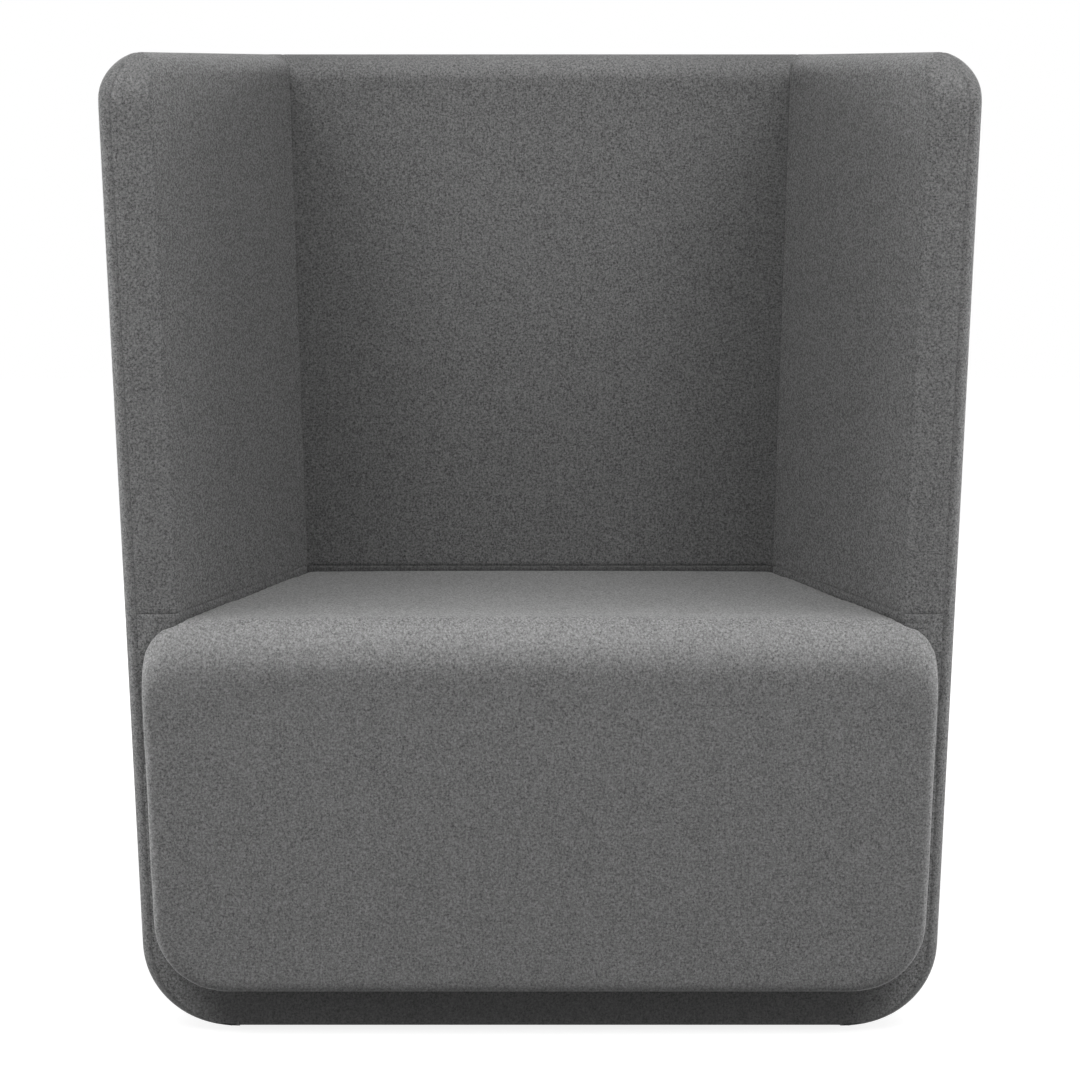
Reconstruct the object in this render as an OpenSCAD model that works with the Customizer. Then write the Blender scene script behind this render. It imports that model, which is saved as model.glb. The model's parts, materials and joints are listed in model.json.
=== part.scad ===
// High back lounge chair: an upholstered tub with splayed wings, a wide seat block and screw glides.
// Z is up, the sitter faces -Y, and the origin lies on the floor under the middle of the chair.

/* [Tub] */
// Height of the crest of the wings and the back above the floor
height = 1079; // [1000:1:1160]
// Half the width of the tub at floor height, measured in its front plane
floor_half = 440.3; // [420:0.1:460]
// Distance from the middle of the chair to the front plane of the wings
front_reach = 299; // [285:1:310]
// Distance from the middle of the chair to the rearmost line of the back
rear_reach = 344; // [335:1:360]
// Outward lean of the wings
side_lean = 2.3; // [1.5:0.1:3]
// Angle in plan between a wing and the fore and aft line
wing_splay = 11.8; // [10.5:0.1:13]
// Backward lean of the back
back_recline = 2.5; // [1.5:0.1:3.5]
// Height of the underside above the floor with the glides screwed in
ground_gap = 6; // [5:0.5:8]
// Thickness of a wing over its covers
wing_thick = 58.5; // [54:0.5:62]
// Thickness of the back over its covers
back_thick = 84; // [80:1:96]

/* [Rounding] */
// Radius of the lower side edges
low_radius = 98; // [92:1:104]
// Radius of the lower rear edge
low_back_radius = 40; // [34:1:46]
// Radius of the upright rear corners
corner_radius = 90; // [84:1:96]
// Radius on the outer side of the crest
crest_radius = 62; // [58:1:66]
// Radius on the inner side of the crest of a wing
wing_roll = 24; // [20:1:27]
// Radius on the inner side of the crest of the back
back_roll = 32; // [26:1:36]
// Radius of the front upper corner of a wing, seen from the side
brow_radius = 60; // [50:1:70]
// Radius of the outer and inner edge of the front strip
edge_roll = 12; // [9:0.5:14]
// Distance from the outer face to the seam of the front strip
seam_inset = 14; // [12:0.5:16]
// Radius by which the seam swings in over the crest
seam_swing = 119; // [110:1:130]

/* [Layers] */
// Thickness of the felt covers
cover_t = 2; // [1.5:0.1:2.5]
// Thickness of the foam outside the boards
skin_foam_t = 6; // [5:0.5:7]
// Thickness of the plywood boards
board_t = 15; // [12:1:18]
// Thickness of the sound absorbing core in a wing
wing_core_t = 12; // [9:1:14]
// Thickness of the sound absorbing core in the back
back_core_t = 20; // [15:1:24]
// Clearance between one layer and the next
layer_gap = 0.3; // [0.2:0.05:0.4]

/* [Seat] */
// Height of the seat beside the wings, in the front plane of the tub
seat_height = 460; // [448:1:468]
// Fall of the seat and of the lining seam towards the back
seat_rake = 1.45; // [0.5:0.05:2]
// Rise of the middle of the seat over its sides
seat_crown = 2.5; // [1.5:0.5:8]
// Depth of the nose in front of the wings
nose_depth = 45; // [42:1:50]
// Half the width of the nose, carried down to floor height
nose_half = 419; // [405:0.5:426]
// Height of the lower edge of the nose
nose_low = 53.5; // [50:0.5:65]
// Radius of the upper front edge of the seat
nose_roll = 60; // [55:1:66]
// Radius of the upper corners of the nose, seen from the front
nose_top_radius = 45; // [40:1:50]
// Radius of the lower corners of the nose, seen from the front
nose_low_radius = 68; // [60:1:74]
// Height of the lining seam above the seat
seam_rise = 7; // [6:0.5:12]
// Height of the seat block above the platform that carries it
seat_block = 160; // [152:1:168]
// Clearance between the seat block and the tub
seat_gap = 0.5; // [0.3:0.1:0.8]

/* [Frame] */
// Thickness of the timber rails in the base
rail_t = 25; // [22:1:28]
// Inner radius of the corner formers
former_bore = 49; // [46:1:50]
// Thickness of the seat rails
seat_rail_t = 28; // [25:1:32]
// Height of the seat rails
seat_rail_h = 62; // [56:1:68]
// Side of the corner posts behind the wings
post_side = 50; // [46:1:52]
// Width of a webbing strap
strap_w = 50; // [40:5:60]
// Thickness of a webbing strap
strap_t = 2; // [1.5:0.1:2.5]
// Number of straps that run fore and aft
strap_count = 6; // [4:1:6]

/* [Glides] */
// Diameter of the foot of a glide
glide_d = 40; // [34:1:46]
// Thickness of the foot of a glide
glide_t = 5.7; // [5:0.1:5.7]
// Diameter of the threaded stem
stem_d = 8; // [8:1:10]
// Length of the threaded stem above the foot
stem_len = 42; // [36:1:48]
// Distance of the front glides from the middle
glide_front_x = 270; // [250:1:285]
// Distance of the rear glides from the middle
glide_rear_x = 180; // [170:1:195]
// Distance of the front glides behind the front plane
glide_front_in = 80; // [78:1:95]
// Distance of the rear glides in front of the rearmost line
glide_rear_in = 159; // [150:1:175]

/* [Hidden] */
felt = [0.43, 0.43, 0.45];
felt_dark = [0.33, 0.33, 0.35];
foam = [0.9, 0.87, 0.74];
ply = [0.79, 0.64, 0.42];
timber = [0.72, 0.54, 0.33];
absorber = [0.5, 0.55, 0.6];
steel = [0.68, 0.7, 0.72];
plastic = [0.12, 0.12, 0.13];
webbing = [0.2, 0.2, 0.22];

front_y = -front_reach;
platform = seat_height - seat_block;
lean = tan(side_lean);
splay = tan(wing_splay);
recline = tan(back_recline);
side_slope = norm([1, splay, lean]);
back_slope = norm([1, recline]);
lean_turn = atan(lean * cos(wing_splay));
rake = tan(seat_rake);

// Steps on the rounded edges, and the overrun of every cutting solid
corner_steps = 5;
edge_steps = 3;
low_turns = [0, 15, 30, 45, 60, 75, 90];
crest_shares = [0, 0.3, 0.55, 0.74, 0.88, 0.96, 1];
crest_flat = 0.25;
overrun = 60;
far = 2 * height;

// Depth of each layer behind the outer face
foam_in = cover_t + layer_gap;
board_in = foam_in + skin_foam_t;
core_in = board_in + board_t;
rail_in = core_in + rail_t;

// Plan corners with a radius each become arcs of equal step counts
function unit(v) = v / norm(v);
function turned(v, a) = [v.x * cos(a) - v.y * sin(a), v.x * sin(a) + v.y * cos(a)];
function bend(before, at, after, radius, steps) =
    let (u = unit(before - at), w = unit(after - at))
    let (half = acos(u * w) / 2, centre = at + unit(u + w) * radius / sin(half))
    let (start = at + u * radius / tan(half) - centre, finish = at + w * radius / tan(half) - centre)
    let (turn = (180 - 2 * half) * sign(cross(start, finish)))
    [for (i = [0 : steps]) centre + turned(start, turn * i / steps)];
function rounded(corners, radii, steps) =
    let (n = len(corners))
    [for (i = [0 : n - 1])
        each radii[i] > 0
            ? bend(corners[(i + n - 1) % n], corners[i], corners[(i + 1) % n], radii[i], steps[i])
            : [corners[i]]];

// A closed solid through rings of equally many points
module loft(rings) {
    n = len(rings[0]);
    m = len(rings);
    sides = [for (j = [0 : m - 2], i = [0 : n - 1])
        each let (a = j * n + i, b = j * n + (i + 1) % n) [[a, a + n, b], [b, a + n, b + n]]];
    first = [for (i = [n - 1 : -1 : 0]) i];
    last = [for (i = [0 : n - 1]) (m - 1) * n + i];
    polyhedron([for (ring = rings) each ring], concat(sides, [first, last]));
}
function level(points, z) = [for (p = points) [p.x, p.y, z]];

// Outer half width in the front plane and the rear plane, at a height
function half_at(z) = floor_half + lean * z;
function side_x(y, z, depth) = half_at(z) - splay * (y - front_y) - depth * side_slope;
function crest_lift(thick, roll) =
    let (run = crest_radius - thick + roll, span = crest_radius - roll) sqrt(span ^ 2 - run ^ 2);
function crest_rise(thick, roll) = crest_lift(thick, roll) + roll;
back_rise = crest_rise(back_thick, back_roll);
wing_rise = crest_rise(wing_thick, wing_roll);
function back_y(z, depth) = rear_reach - recline * (height - back_rise - z) - depth * back_slope;

// Inset of the outer face from its plane: lower rounding, then the outer and inner arc of the crest
function low_inset(z, k, radius) =
    let (r = radius - k, drop = ground_gap + radius - z) drop > 0 ? r - sqrt(max(0, r ^ 2 - drop ^ 2)) : 0;
function crest_inset(z, k, thick, roll) =
    let (lift = crest_lift(thick, roll), up = z - height + crest_rise(thick, roll), r = crest_radius - k)
    let (meet = r * lift / (crest_radius - roll))
    up <= 0 ? 0
    : up < meet ? r - sqrt(r ^ 2 - up ^ 2)
    : thick - roll - k - sqrt(max(0, (roll - k) ^ 2 - (up - lift) ^ 2));
function outer_inset(z, k, low, thick, roll) = k + low_inset(z, k, low) + crest_inset(z, k, thick, roll);

// Inset of the inner face from the outer plane, with the inner arc of the crest
function inner_inset(z, k, thick, roll) =
    let (up = z - height + roll, r = roll - k)
    up <= 0 ? thick - k : thick - roll + sqrt(max(0, r ^ 2 - up ^ 2));
function brow_inset(z, k) =
    let (up = z - height + brow_radius, r = brow_radius - k)
    k + (up > 0 ? r - sqrt(max(0, r ^ 2 - up ^ 2)) : 0);

// Heights of the rings
function low_levels(k, radius) = [for (a = low_turns) ground_gap + k + (radius - k) * (1 - cos(a))];
function crest_levels(k) = [for (s = crest_shares) height - back_rise + (back_rise - k) * s];
function clipped(z, k) = min(z, height - k - crest_flat);

// The whole outer form of the tub, drawn in by k, with nothing cut out of it
function outer_ring(z, k) =
    let (q = clipped(z, k), front = front_y + brow_inset(q, k))
    let (side = outer_inset(q, k, low_radius, wing_thick, wing_roll))
    let (rear = back_y(q, outer_inset(q, k, low_back_radius, back_thick, back_roll)))
    let (a = [side_x(front, q, side), front], b = [side_x(rear, q, side), rear])
    rounded([a, b, [-b.x, b.y], [-a.x, a.y]],
        [edge_roll - k, corner_radius - k, corner_radius - k, edge_roll - k],
        [edge_steps, corner_steps, corner_steps, edge_steps]);
module tub_form(k) {
    loft([for (z = concat(low_levels(k, low_radius), crest_levels(k))) level(outer_ring(z, k), z)]);
}
module tub_above(k, bottom) {
    loft([for (z = concat([bottom], crest_levels(k))) level(outer_ring(z, k), z)]);
}

// The sitting space between the wings, grown by k into the padding
function space_ring(z, k) =
    let (q = clipped(z, k), front = front_y + brow_inset(q, k))
    let (side = inner_inset(q, k, wing_thick, wing_roll))
    let (rear = back_y(q, inner_inset(q, k, back_thick, back_roll)))
    let (b = [side_x(rear, q, side), rear], a = [side_x(front, q, side), front])
    let (mouth = bend(b, a, [a.x + overrun, a.y], edge_roll - k, edge_steps))
    let (lip = [mouth[edge_steps].x, front_y - overrun])
    concat([[-b.x, b.y], [b.x, b.y]], mouth, [lip, [-lip.x, lip.y]],
        [for (i = [edge_steps : -1 : 0]) [-mouth[i].x, mouth[i].y]]);
module sitting_form(k, bottom) {
    loft([for (z = concat([bottom], crest_levels(k), [height + overrun])) level(space_ring(z, k), z)]);
}
module wall_form(k, bottom) {
    difference() {
        tub_above(k, bottom);
        sitting_form(k, bottom - overrun);
    }
}

// The seam runs inside the outer face by seam_inset and swings in over the crest
function seam_ring(z) =
    let (up = z - height + crest_radius, swing = up > 0 ? seam_swing - sqrt(seam_swing ^ 2 - up ^ 2) : 0)
    let (front = front_y - overrun, k = seam_inset)
    let (side = k + low_inset(z, k, low_radius) + swing)
    let (rear = back_y(z, k + low_inset(z, k, low_back_radius) + swing))
    let (a = [side_x(front, z, side), front], b = [side_x(rear, z, side), rear])
    rounded([a, b, [-b.x, b.y], [-a.x, a.y]], [0, corner_radius - k, corner_radius - k, 0],
        [0, corner_steps, corner_steps, 0]);
module seam_form(levels) {
    loft([for (z = concat(levels, crest_levels(0), [height + crest_flat])) level(seam_ring(z), z)]);
}
seam_lows = low_levels(seam_inset, low_radius);

// Everything behind the two upright creases, where the lining turns from the wings to the back
function crease(z) =
    let (y = back_y(z, back_thick)) [side_x(y, z, wing_thick), y];
module back_zone() {
    loft([for (z = [0, height + overrun]) let (c = crease(z), out = back_thick + corner_radius)
        level([[0, c.y - front_reach], c, [c.x + out, c.y + out], [-c.x - out, c.y + out], [-c.x, c.y]], z)]);
}
// Everything in front of the wings' outer rear corners, for the outer covers
module outer_back_zone() {
    loft([for (z = [0, height + overrun])
        let (y = back_y(z, corner_radius), x = side_x(y, z, 0) + overrun)
        level([[-x, y], [x, y], [x, rear_reach + overrun], [-x, rear_reach + overrun]], z)]);
}
module above_seam() {
    translate([0, front_y, seat_height + seam_rise])
        rotate([-seat_rake, 0, 0])
            translate([-far / 2, -far / 2, 0])
                cube(far);
}
module above(z) {
    translate([-far / 2, -far / 2, z])
        cube(far);
}
module below(z) {
    translate([-far / 2, -far / 2, z - far])
        cube(far);
}
module behind(y) {
    translate([-far / 2, y, -far / 2])
        cube(far);
}
module on_side(side) {
    mirror([side < 0 ? 1 : 0, 0, 0])
        children();
}
module right_half() {
    intersection() {
        children();
        translate([0, -far / 2, -far / 2])
            cube(far);
    }
}

// Frames of reference of the leaning walls: x is depth, or -y for the back, and z runs up the wall
module wing_place() {
    translate([floor_half, front_y, 0])
        rotate([0, lean_turn, wing_splay])
            children();
}
module wing_slab(depth, thick, outline) {
    wing_place()
        translate([-depth - thick, 0, 0])
            rotate([90, 0, 90])
                linear_extrude(thick)
                    polygon(outline);
}
module wing_hole(depth, thick, y, z, d) {
    wing_place()
        translate([-depth - thick, y, z])
            rotate([0, 90, 0])
                cylinder(d = d, h = thick, $fn = 48);
}
module back_place() {
    translate([0, back_y(0, 0), 0])
        rotate([-back_recline, 0, 0])
            children();
}
module back_slab(depth, thick, outline) {
    back_place()
        translate([0, -depth, 0])
            rotate([90, 0, 0])
                linear_extrude(thick)
                    polygon(outline);
}
// Outlines of the boards in their own planes
board_edge = edge_roll + cover_t;
board_low = ground_gap + low_radius;
board_crest_share = 0.33;
board_top = height - wing_rise + board_crest_share * crest_radius;
back_board_top = height - back_rise + board_crest_share * crest_radius;
post_grip = 9.6;
board_rear_in = core_in + post_side - post_grip;
function wing_u(y) = (y - front_y) / cos(wing_splay);
function wing_rear(z, inset) = wing_u(back_y(z, inset)) - z * sin(lean_turn) * sin(wing_splay);
module wing_board_slab(depth, thick, low, rear_in, ease) {
    top = board_top + ease;
    wing_slab(depth - ease, thick + 2 * ease, rounded(
        [[board_edge - ease, low - ease], [wing_rear(low, rear_in) + ease, low - ease],
            [wing_rear(top, rear_in) + ease, top], [board_edge - ease, top]],
        [0, 0, 0, brow_radius], [0, 0, 0, 2 * edge_steps]));
}
back_low = ground_gap + low_back_radius + layer_gap;
function back_half(z, inset) = side_x(back_y(z, 0), z, inset);
module back_board_slab(depth, thick, low, side_in, ease) {
    top = back_board_top + ease;
    knee = max(low, board_low);
    a = back_half(low, side_in) + ease - (low < board_low ? corner_radius / 2 : 0);
    b = back_half(knee, side_in) + ease;
    c = back_half(top, side_in) + ease;
    foot = low < board_low ? [[-b, knee], [-a, low - ease], [a, low - ease], [b, knee]]
        : [[-b, low - ease], [b, low - ease]];
    back_slab(depth - ease, thick + 2 * ease, concat(foot, [[c, top], [-c, top]]));
}
post_end = core_in + post_side;

// Fasteners through the wing boards into the side rails
bolt_d = 8;
bolt_clear = 0.4;
bolt_head_d = 18;
bolt_head_t = 4;
nut_flange_d = 22;
nut_flange_t = 1.6;
nut_barrel_d = 10.5;
nut_barrel_t = 11;
bolt_shares = [0.12, 0.45, 0.8];
bolt_ys = [for (s = bolt_shares) s * (rear_reach + front_reach)];
bolt_z = (platform + board_low) / 2 + rail_t;

module base_board() {
    z = ground_gap + foam_in;
    inset = low_radius + 3 * layer_gap;
    a = [side_x(front_y, z, inset), front_y + foam_in + layer_gap];
    b_y = back_y(z, low_back_radius + 3 * layer_gap);
    b = [side_x(b_y, z, inset), b_y];
    color(ply)
        difference() {
            translate([0, 0, z])
                linear_extrude(board_t)
                    polygon(rounded([a, b, [-b.x, b.y], [-a.x, a.y]], [0, corner_radius, corner_radius, 0],
                        [0, 2 * edge_steps, 2 * edge_steps, 0]));
            for (p = glide_places)
                translate([p.x, p.y, z - overrun]) {
                    cylinder(d = nut_barrel_d, h = 2 * overrun, $fn = 48);
                    translate([0, 0, overrun + board_t - nut_flange_t])
                        cylinder(d = nut_flange_d, h = overrun, $fn = 48);
                }
        }
}
base_top = ground_gap + foam_in + board_t;

// An upright rail across the base, notched over the corner formers
module across_rail(y, thick) {
    low = [side_x(y + thick, base_top, low_radius + layer_gap), base_top];
    step_z = board_low + layer_gap;
    mid = [side_x(y + thick, step_z, rail_in + 1.5 * layer_gap), step_z];
    top = [side_x(y + thick, platform, rail_in + 1.5 * layer_gap), platform];
    translate([0, y + thick, 0])
        rotate([90, 0, 0])
            linear_extrude(thick)
                polygon([low, [low.x, step_z], mid, top,
                    [-top.x, top.y], [-mid.x, mid.y], [-low.x, step_z], [-low.x, low.y]]);
}
front_rail_y = front_y + foam_in + layer_gap;
cross_rail_gap = 3.5;
bolt_end_y = front_y + bolt_ys[1] * cos(wing_splay) - (rail_in + bolt_head_t) * sin(wing_splay)
    + bolt_z * sin(lean_turn) * sin(wing_splay);
cross_rail_y = bolt_end_y + bolt_head_d / 2 + cross_rail_gap;
module base_front_rail() {
    color(timber)
        difference() {
            across_rail(front_rail_y, rail_t);
            seat_bolt_holes();
        }
}
module base_cross_rail() {
    color(timber)
        across_rail(cross_rail_y, rail_t);
}
module base_back_rail() {
    foot = base_top + 4 * layer_gap;
    half_low = back_half(foot, low_radius + layer_gap);
    half_mid = back_half(board_low, post_end + 3 * layer_gap);
    half_top = back_half(platform, post_end + 3 * layer_gap);
    step_z = board_low + 2 * layer_gap;
    color(timber)
        intersection() {
            back_slab(core_in + layer_gap, rail_t, [[half_low, foot], [half_low, step_z],
                [half_mid, step_z], [half_top, platform], [-half_top, platform],
                [-half_mid, step_z], [-half_low, step_z], [-half_low, foot]]);
            below(platform);
        }
}

// Side rail against the inner face of the wing board
module side_rail(side) {
    end_in = post_end + 3 * layer_gap;
    on_side(side)
        difference() {
            intersection() {
                wing_slab(core_in, rail_t, [[0, board_low], [wing_rear(board_low, end_in), board_low],
                    [wing_rear(platform, end_in), platform], [0, platform]]);
                behind(front_rail_y);
                below(platform);
            }
            for (y = bolt_ys)
                wing_hole(core_in - overrun, rail_t + 2 * overrun, y, bolt_z, bolt_d + bolt_clear);
        }
}
module base_left_rail() {
    color(timber)
        side_rail(-1);
}
module base_right_rail() {
    color(timber)
        side_rail(1);
}

// Bent corner block under each wing: a quarter ring that runs fore and aft
former_ease = 5.5;
former_radius = low_radius - former_ease;
module corner_former(side) {
    run = wing_rear(board_low, back_thick);
    on_side(side)
        intersection() {
            translate([half_at(board_low), front_y, board_low])
                rotate([0, 0, wing_splay])
                    translate([-low_radius, -overrun, 0])
                        rotate([-90, 0, 0])
                            linear_extrude(run + overrun)
                                intersection() {
                                    difference() {
                                        circle(former_radius, $fn = 96);
                                        circle(former_bore, $fn = 96);
                                    }
                                    square(low_radius);
                                }
            behind(front_y + board_edge);
        }
}
module left_corner_former() {
    color(timber)
        corner_former(-1);
}
module right_corner_former() {
    color(timber)
        corner_former(1);
}

module wing_board(side) {
    on_side(side)
        difference() {
            intersection() {
                wing_board_slab(board_in, board_t, board_low, board_rear_in, 0);
                above(board_low);
            }
            for (y = bolt_ys) {
                wing_hole(board_in - overrun, board_t + 2 * overrun, y, bolt_z, nut_barrel_d);
                wing_hole(board_in - overrun, nut_flange_t + overrun, y, bolt_z, nut_flange_d);
            }
        }
}
module left_wing_board() {
    color(ply)
        wing_board(-1);
}
module right_wing_board() {
    color(ply)
        wing_board(1);
}
module back_board() {
    color(ply)
        back_board_slab(board_in, board_t, back_low, board_rear_in, 0);
}

// Upright post in the angle between a wing board and the back board
module corner_post(side) {
    z = platform;
    rear = back_y(z, core_in + layer_gap);
    x = side_x(rear, z, core_in + layer_gap);
    chamfer = post_side / 2;
    tilt_y = atan(lean - splay * recline);
    on_side(side)
        intersection() {
            translate([x, rear, z])
                rotate([-back_recline, tilt_y, 0])
                    translate([0, 0, -z])
                        linear_extrude(height)
                            polygon([[splay * post_side, -post_side],
                                [splay * chamfer, -chamfer], [-chamfer, 0], [-post_side, 0],
                                [-post_side, -post_side]]);
            above(board_low + layer_gap);
            below(back_board_top - layer_gap);
        }
}
module left_corner_post() {
    color(timber)
        corner_post(-1);
}
module right_corner_post() {
    color(timber)
        corner_post(1);
}

core_low = seat_height;
module wing_core(side, ease) {
    on_side(side)
        wing_board_slab(core_in, wing_core_t, core_low, post_end + 4 * layer_gap, ease);
}
module left_wing_core() {
    color(absorber)
        wing_core(-1, 0);
}
module right_wing_core() {
    color(absorber)
        wing_core(1, 0);
}
module back_core_slab(ease) {
    back_board_slab(core_in, back_core_t, core_low, post_end + 4 * layer_gap, ease);
}
module back_core() {
    color(absorber)
        back_core_slab(0);
}

// Foam: outside the board planes, and inside them around cores and posts
module wing_outside(side) {
    on_side(side)
        wing_place()
            translate([-board_in + layer_gap, -far / 2, -far / 2])
                cube(far);
}
module back_outside() {
    back_place()
        translate([-far / 2, -board_in + layer_gap, -far / 2])
            cube(far);
}
module outer_foam_zone() {
    difference() {
        tub_above(foam_in, board_low + layer_gap);
        sitting_form(foam_in, platform);
    }
}
module wing_outer_foam(side) {
    on_side(side)
        difference() {
            intersection() {
                outer_foam_zone();
                wing_outside(1);
            }
            outer_back_zone();
        }
}
module left_wing_outer_foam() {
    color(foam)
        wing_outer_foam(-1);
}
module right_wing_outer_foam() {
    color(foam)
        wing_outer_foam(1);
}
module back_outer_foam() {
    color(foam)
        difference() {
            intersection() {
                outer_foam_zone();
                union() {
                    back_outside();
                    intersection() {
                        outer_back_zone();
                        union() {
                            wing_outside(1);
                            wing_outside(-1);
                        }
                    }
                }
            }
            difference() {
                union() {
                    wing_outside(1);
                    wing_outside(-1);
                }
                outer_back_zone();
            }
            corner_solids(layer_gap);
        }
}
module corner_solids(ease) {
    for (side = [-1, 1]) {
        corner_post(side);
        on_side(side)
            wing_board_slab(board_in, board_t, board_low, board_rear_in, ease);
    }
    back_board_slab(board_in, board_t, back_low, board_rear_in, ease);
}
module inner_foam_zone() {
    difference() {
        wall_form(foam_in, platform + layer_gap);
        wing_outside(1);
        wing_outside(-1);
        back_outside();
        corner_solids(layer_gap);
        wing_core(1, layer_gap);
        wing_core(-1, layer_gap);
        back_core_slab(layer_gap);
    }
}
module wing_inner_foam(side) {
    on_side(side)
        right_half()
            difference() {
                inner_foam_zone();
                back_zone();
            }
}
module left_wing_inner_foam() {
    color(foam)
        wing_inner_foam(-1);
}
module right_wing_inner_foam() {
    color(foam)
        wing_inner_foam(1);
}
module back_inner_foam() {
    color(foam)
        intersection() {
            inner_foam_zone();
            back_zone();
        }
}

// Felt covers: one skin of small facets all round, parted along the seams
module sewn() {
    resize([0, 0, 0])
        children();
}
module lining_skin() {
    intersection() {
        difference() {
            wall_form(0, platform);
            wall_form(cover_t, platform - overrun);
        }
        seam_form([platform - overrun]);
    }
}
module base_skin() {
    difference() {
        tub_form(0);
        tub_form(cover_t);
        above(platform);
    }
}
module outer_skin() {
    difference() {
        tub_form(0);
        tub_form(cover_t);
        seam_form(seam_lows);
        sitting_form(0, platform);
        dust_opening(0);
    }
}
dust_lap = 12;
dust_in = low_radius + dust_lap;
dust_front_in = 56;
dust_rear_in = 80;
function dust_outline(grow) =
    let (inset = dust_in - grow, y0 = front_y + dust_front_in - grow)
    let (y1 = back_y(0, dust_rear_in - grow), z = ground_gap)
    let (a = side_x(y0, z, inset), b = side_x(y1, z, inset))
    [[a, y0], [b, y1], [-b, y1], [-a, y0]];
module dust_opening(shrink) {
    translate([0, 0, -overrun])
        linear_extrude(2 * overrun)
            polygon(dust_outline(-shrink));
}
module wing_cover(side) {
    on_side(side)
        right_half()
            difference() {
                intersection() {
                    lining_skin();
                    above_seam();
                }
                back_zone();
            }
}
module lining_cover(side) {
    on_side(side)
        right_half()
            difference() {
                lining_skin();
                above_seam();
                back_zone();
            }
}
module outer_cover(side) {
    on_side(side)
        right_half()
            difference() {
                outer_skin();
                outer_back_zone();
            }
}
module left_wing_cover() {
    color(felt)
        sewn()
            wing_cover(-1);
}
module right_wing_cover() {
    color(felt)
        sewn()
            wing_cover(1);
}
module back_cover() {
    color(felt_dark)
        sewn()
            intersection() {
                lining_skin();
                above_seam();
                back_zone();
            }
}
module left_lining_cover() {
    color(felt)
        lining_cover(-1);
}
module right_lining_cover() {
    color(felt)
        lining_cover(1);
}
module back_lining_cover() {
    color(felt_dark)
        difference() {
            intersection() {
                lining_skin();
                back_zone();
            }
            above_seam();
        }
}
module left_outer_cover() {
    color(felt)
        sewn()
            outer_cover(-1);
}
module right_outer_cover() {
    color(felt)
        sewn()
            outer_cover(1);
}
module back_outer_cover() {
    color(felt_dark)
        sewn()
            intersection() {
                outer_skin();
                outer_back_zone();
            }
}
module base_front_cover() {
    color(felt)
        difference() {
            intersection() {
                base_skin();
                seam_form(seam_lows);
            }
            seat_bolt_holes();
        }
}
dust_t = 1;
stem_hole_d = 14;
module base_dust_cover() {
    color(plastic)
        difference() {
            translate([0, 0, ground_gap + layer_gap])
                linear_extrude(dust_t)
                    polygon(dust_outline(-layer_gap));
            for (p = glide_places)
                translate([p.x, p.y, 0])
                    cylinder(d = stem_hole_d, h = overrun, $fn = 48);
        }
}

module shell_bolts() {
    color(steel)
        for (side = [-1, 1], y = bolt_ys)
            on_side(side) {
                wing_hole(board_in + nut_flange_t, board_t + rail_t - nut_flange_t, y, bolt_z, bolt_d);
                wing_hole(rail_in, bolt_head_t, y, bolt_z, bolt_head_d);
            }
}
module tee_nut_bore(y, z) {
    wing_hole(board_in - overrun, 2 * overrun, y, z, bolt_d + bolt_clear / 2);
}
module shell_tee_nuts() {
    color(steel)
        for (side = [-1, 1], y = bolt_ys)
            on_side(side)
                difference() {
                    union() {
                        wing_hole(board_in, nut_flange_t, y, bolt_z, nut_flange_d);
                        wing_hole(board_in, nut_barrel_t, y, bolt_z, nut_barrel_d);
                    }
                    tee_nut_bore(y, bolt_z);
                }
}

// Levelling glides and the tee nuts that they screw into
glide_places = [
    [-glide_front_x, front_y + glide_front_in], [glide_front_x, front_y + glide_front_in],
    [-glide_rear_x, rear_reach - glide_rear_in], [glide_rear_x, rear_reach - glide_rear_in],
];
stem_clear = 0.3;
module glide_tee_nuts() {
    z = ground_gap + foam_in + board_t;
    color(steel)
        for (p = glide_places)
            translate([p.x, p.y, z])
                difference() {
                    union() {
                        translate([0, 0, -nut_flange_t])
                            cylinder(d = nut_flange_d, h = nut_flange_t, $fn = 48);
                        translate([0, 0, -nut_barrel_t])
                            cylinder(d = nut_barrel_d, h = nut_barrel_t, $fn = 48);
                    }
                    translate([0, 0, -overrun])
                        cylinder(d = stem_d + stem_clear, h = 2 * overrun, $fn = 48);
                }
}
module glide(i) {
    p = glide_places[i];
    edge = glide_t / 3;
    translate([p.x, p.y, 0]) {
        color(plastic)
            rotate_extrude($fn = 72)
                polygon([[0, 0], [glide_d / 2 - edge, 0], [glide_d / 2, edge],
                    [glide_d / 2, glide_t - edge], [glide_d / 2 - edge, glide_t], [0, glide_t]]);
        color(steel)
            translate([0, 0, glide_t])
                cylinder(d = stem_d, h = stem_len, $fn = 48);
    }
}
module front_left_glide() {
    glide(0);
}
module front_right_glide() {
    glide(1);
}
module rear_left_glide() {
    glide(2);
}
module rear_right_glide() {
    glide(3);
}

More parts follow.
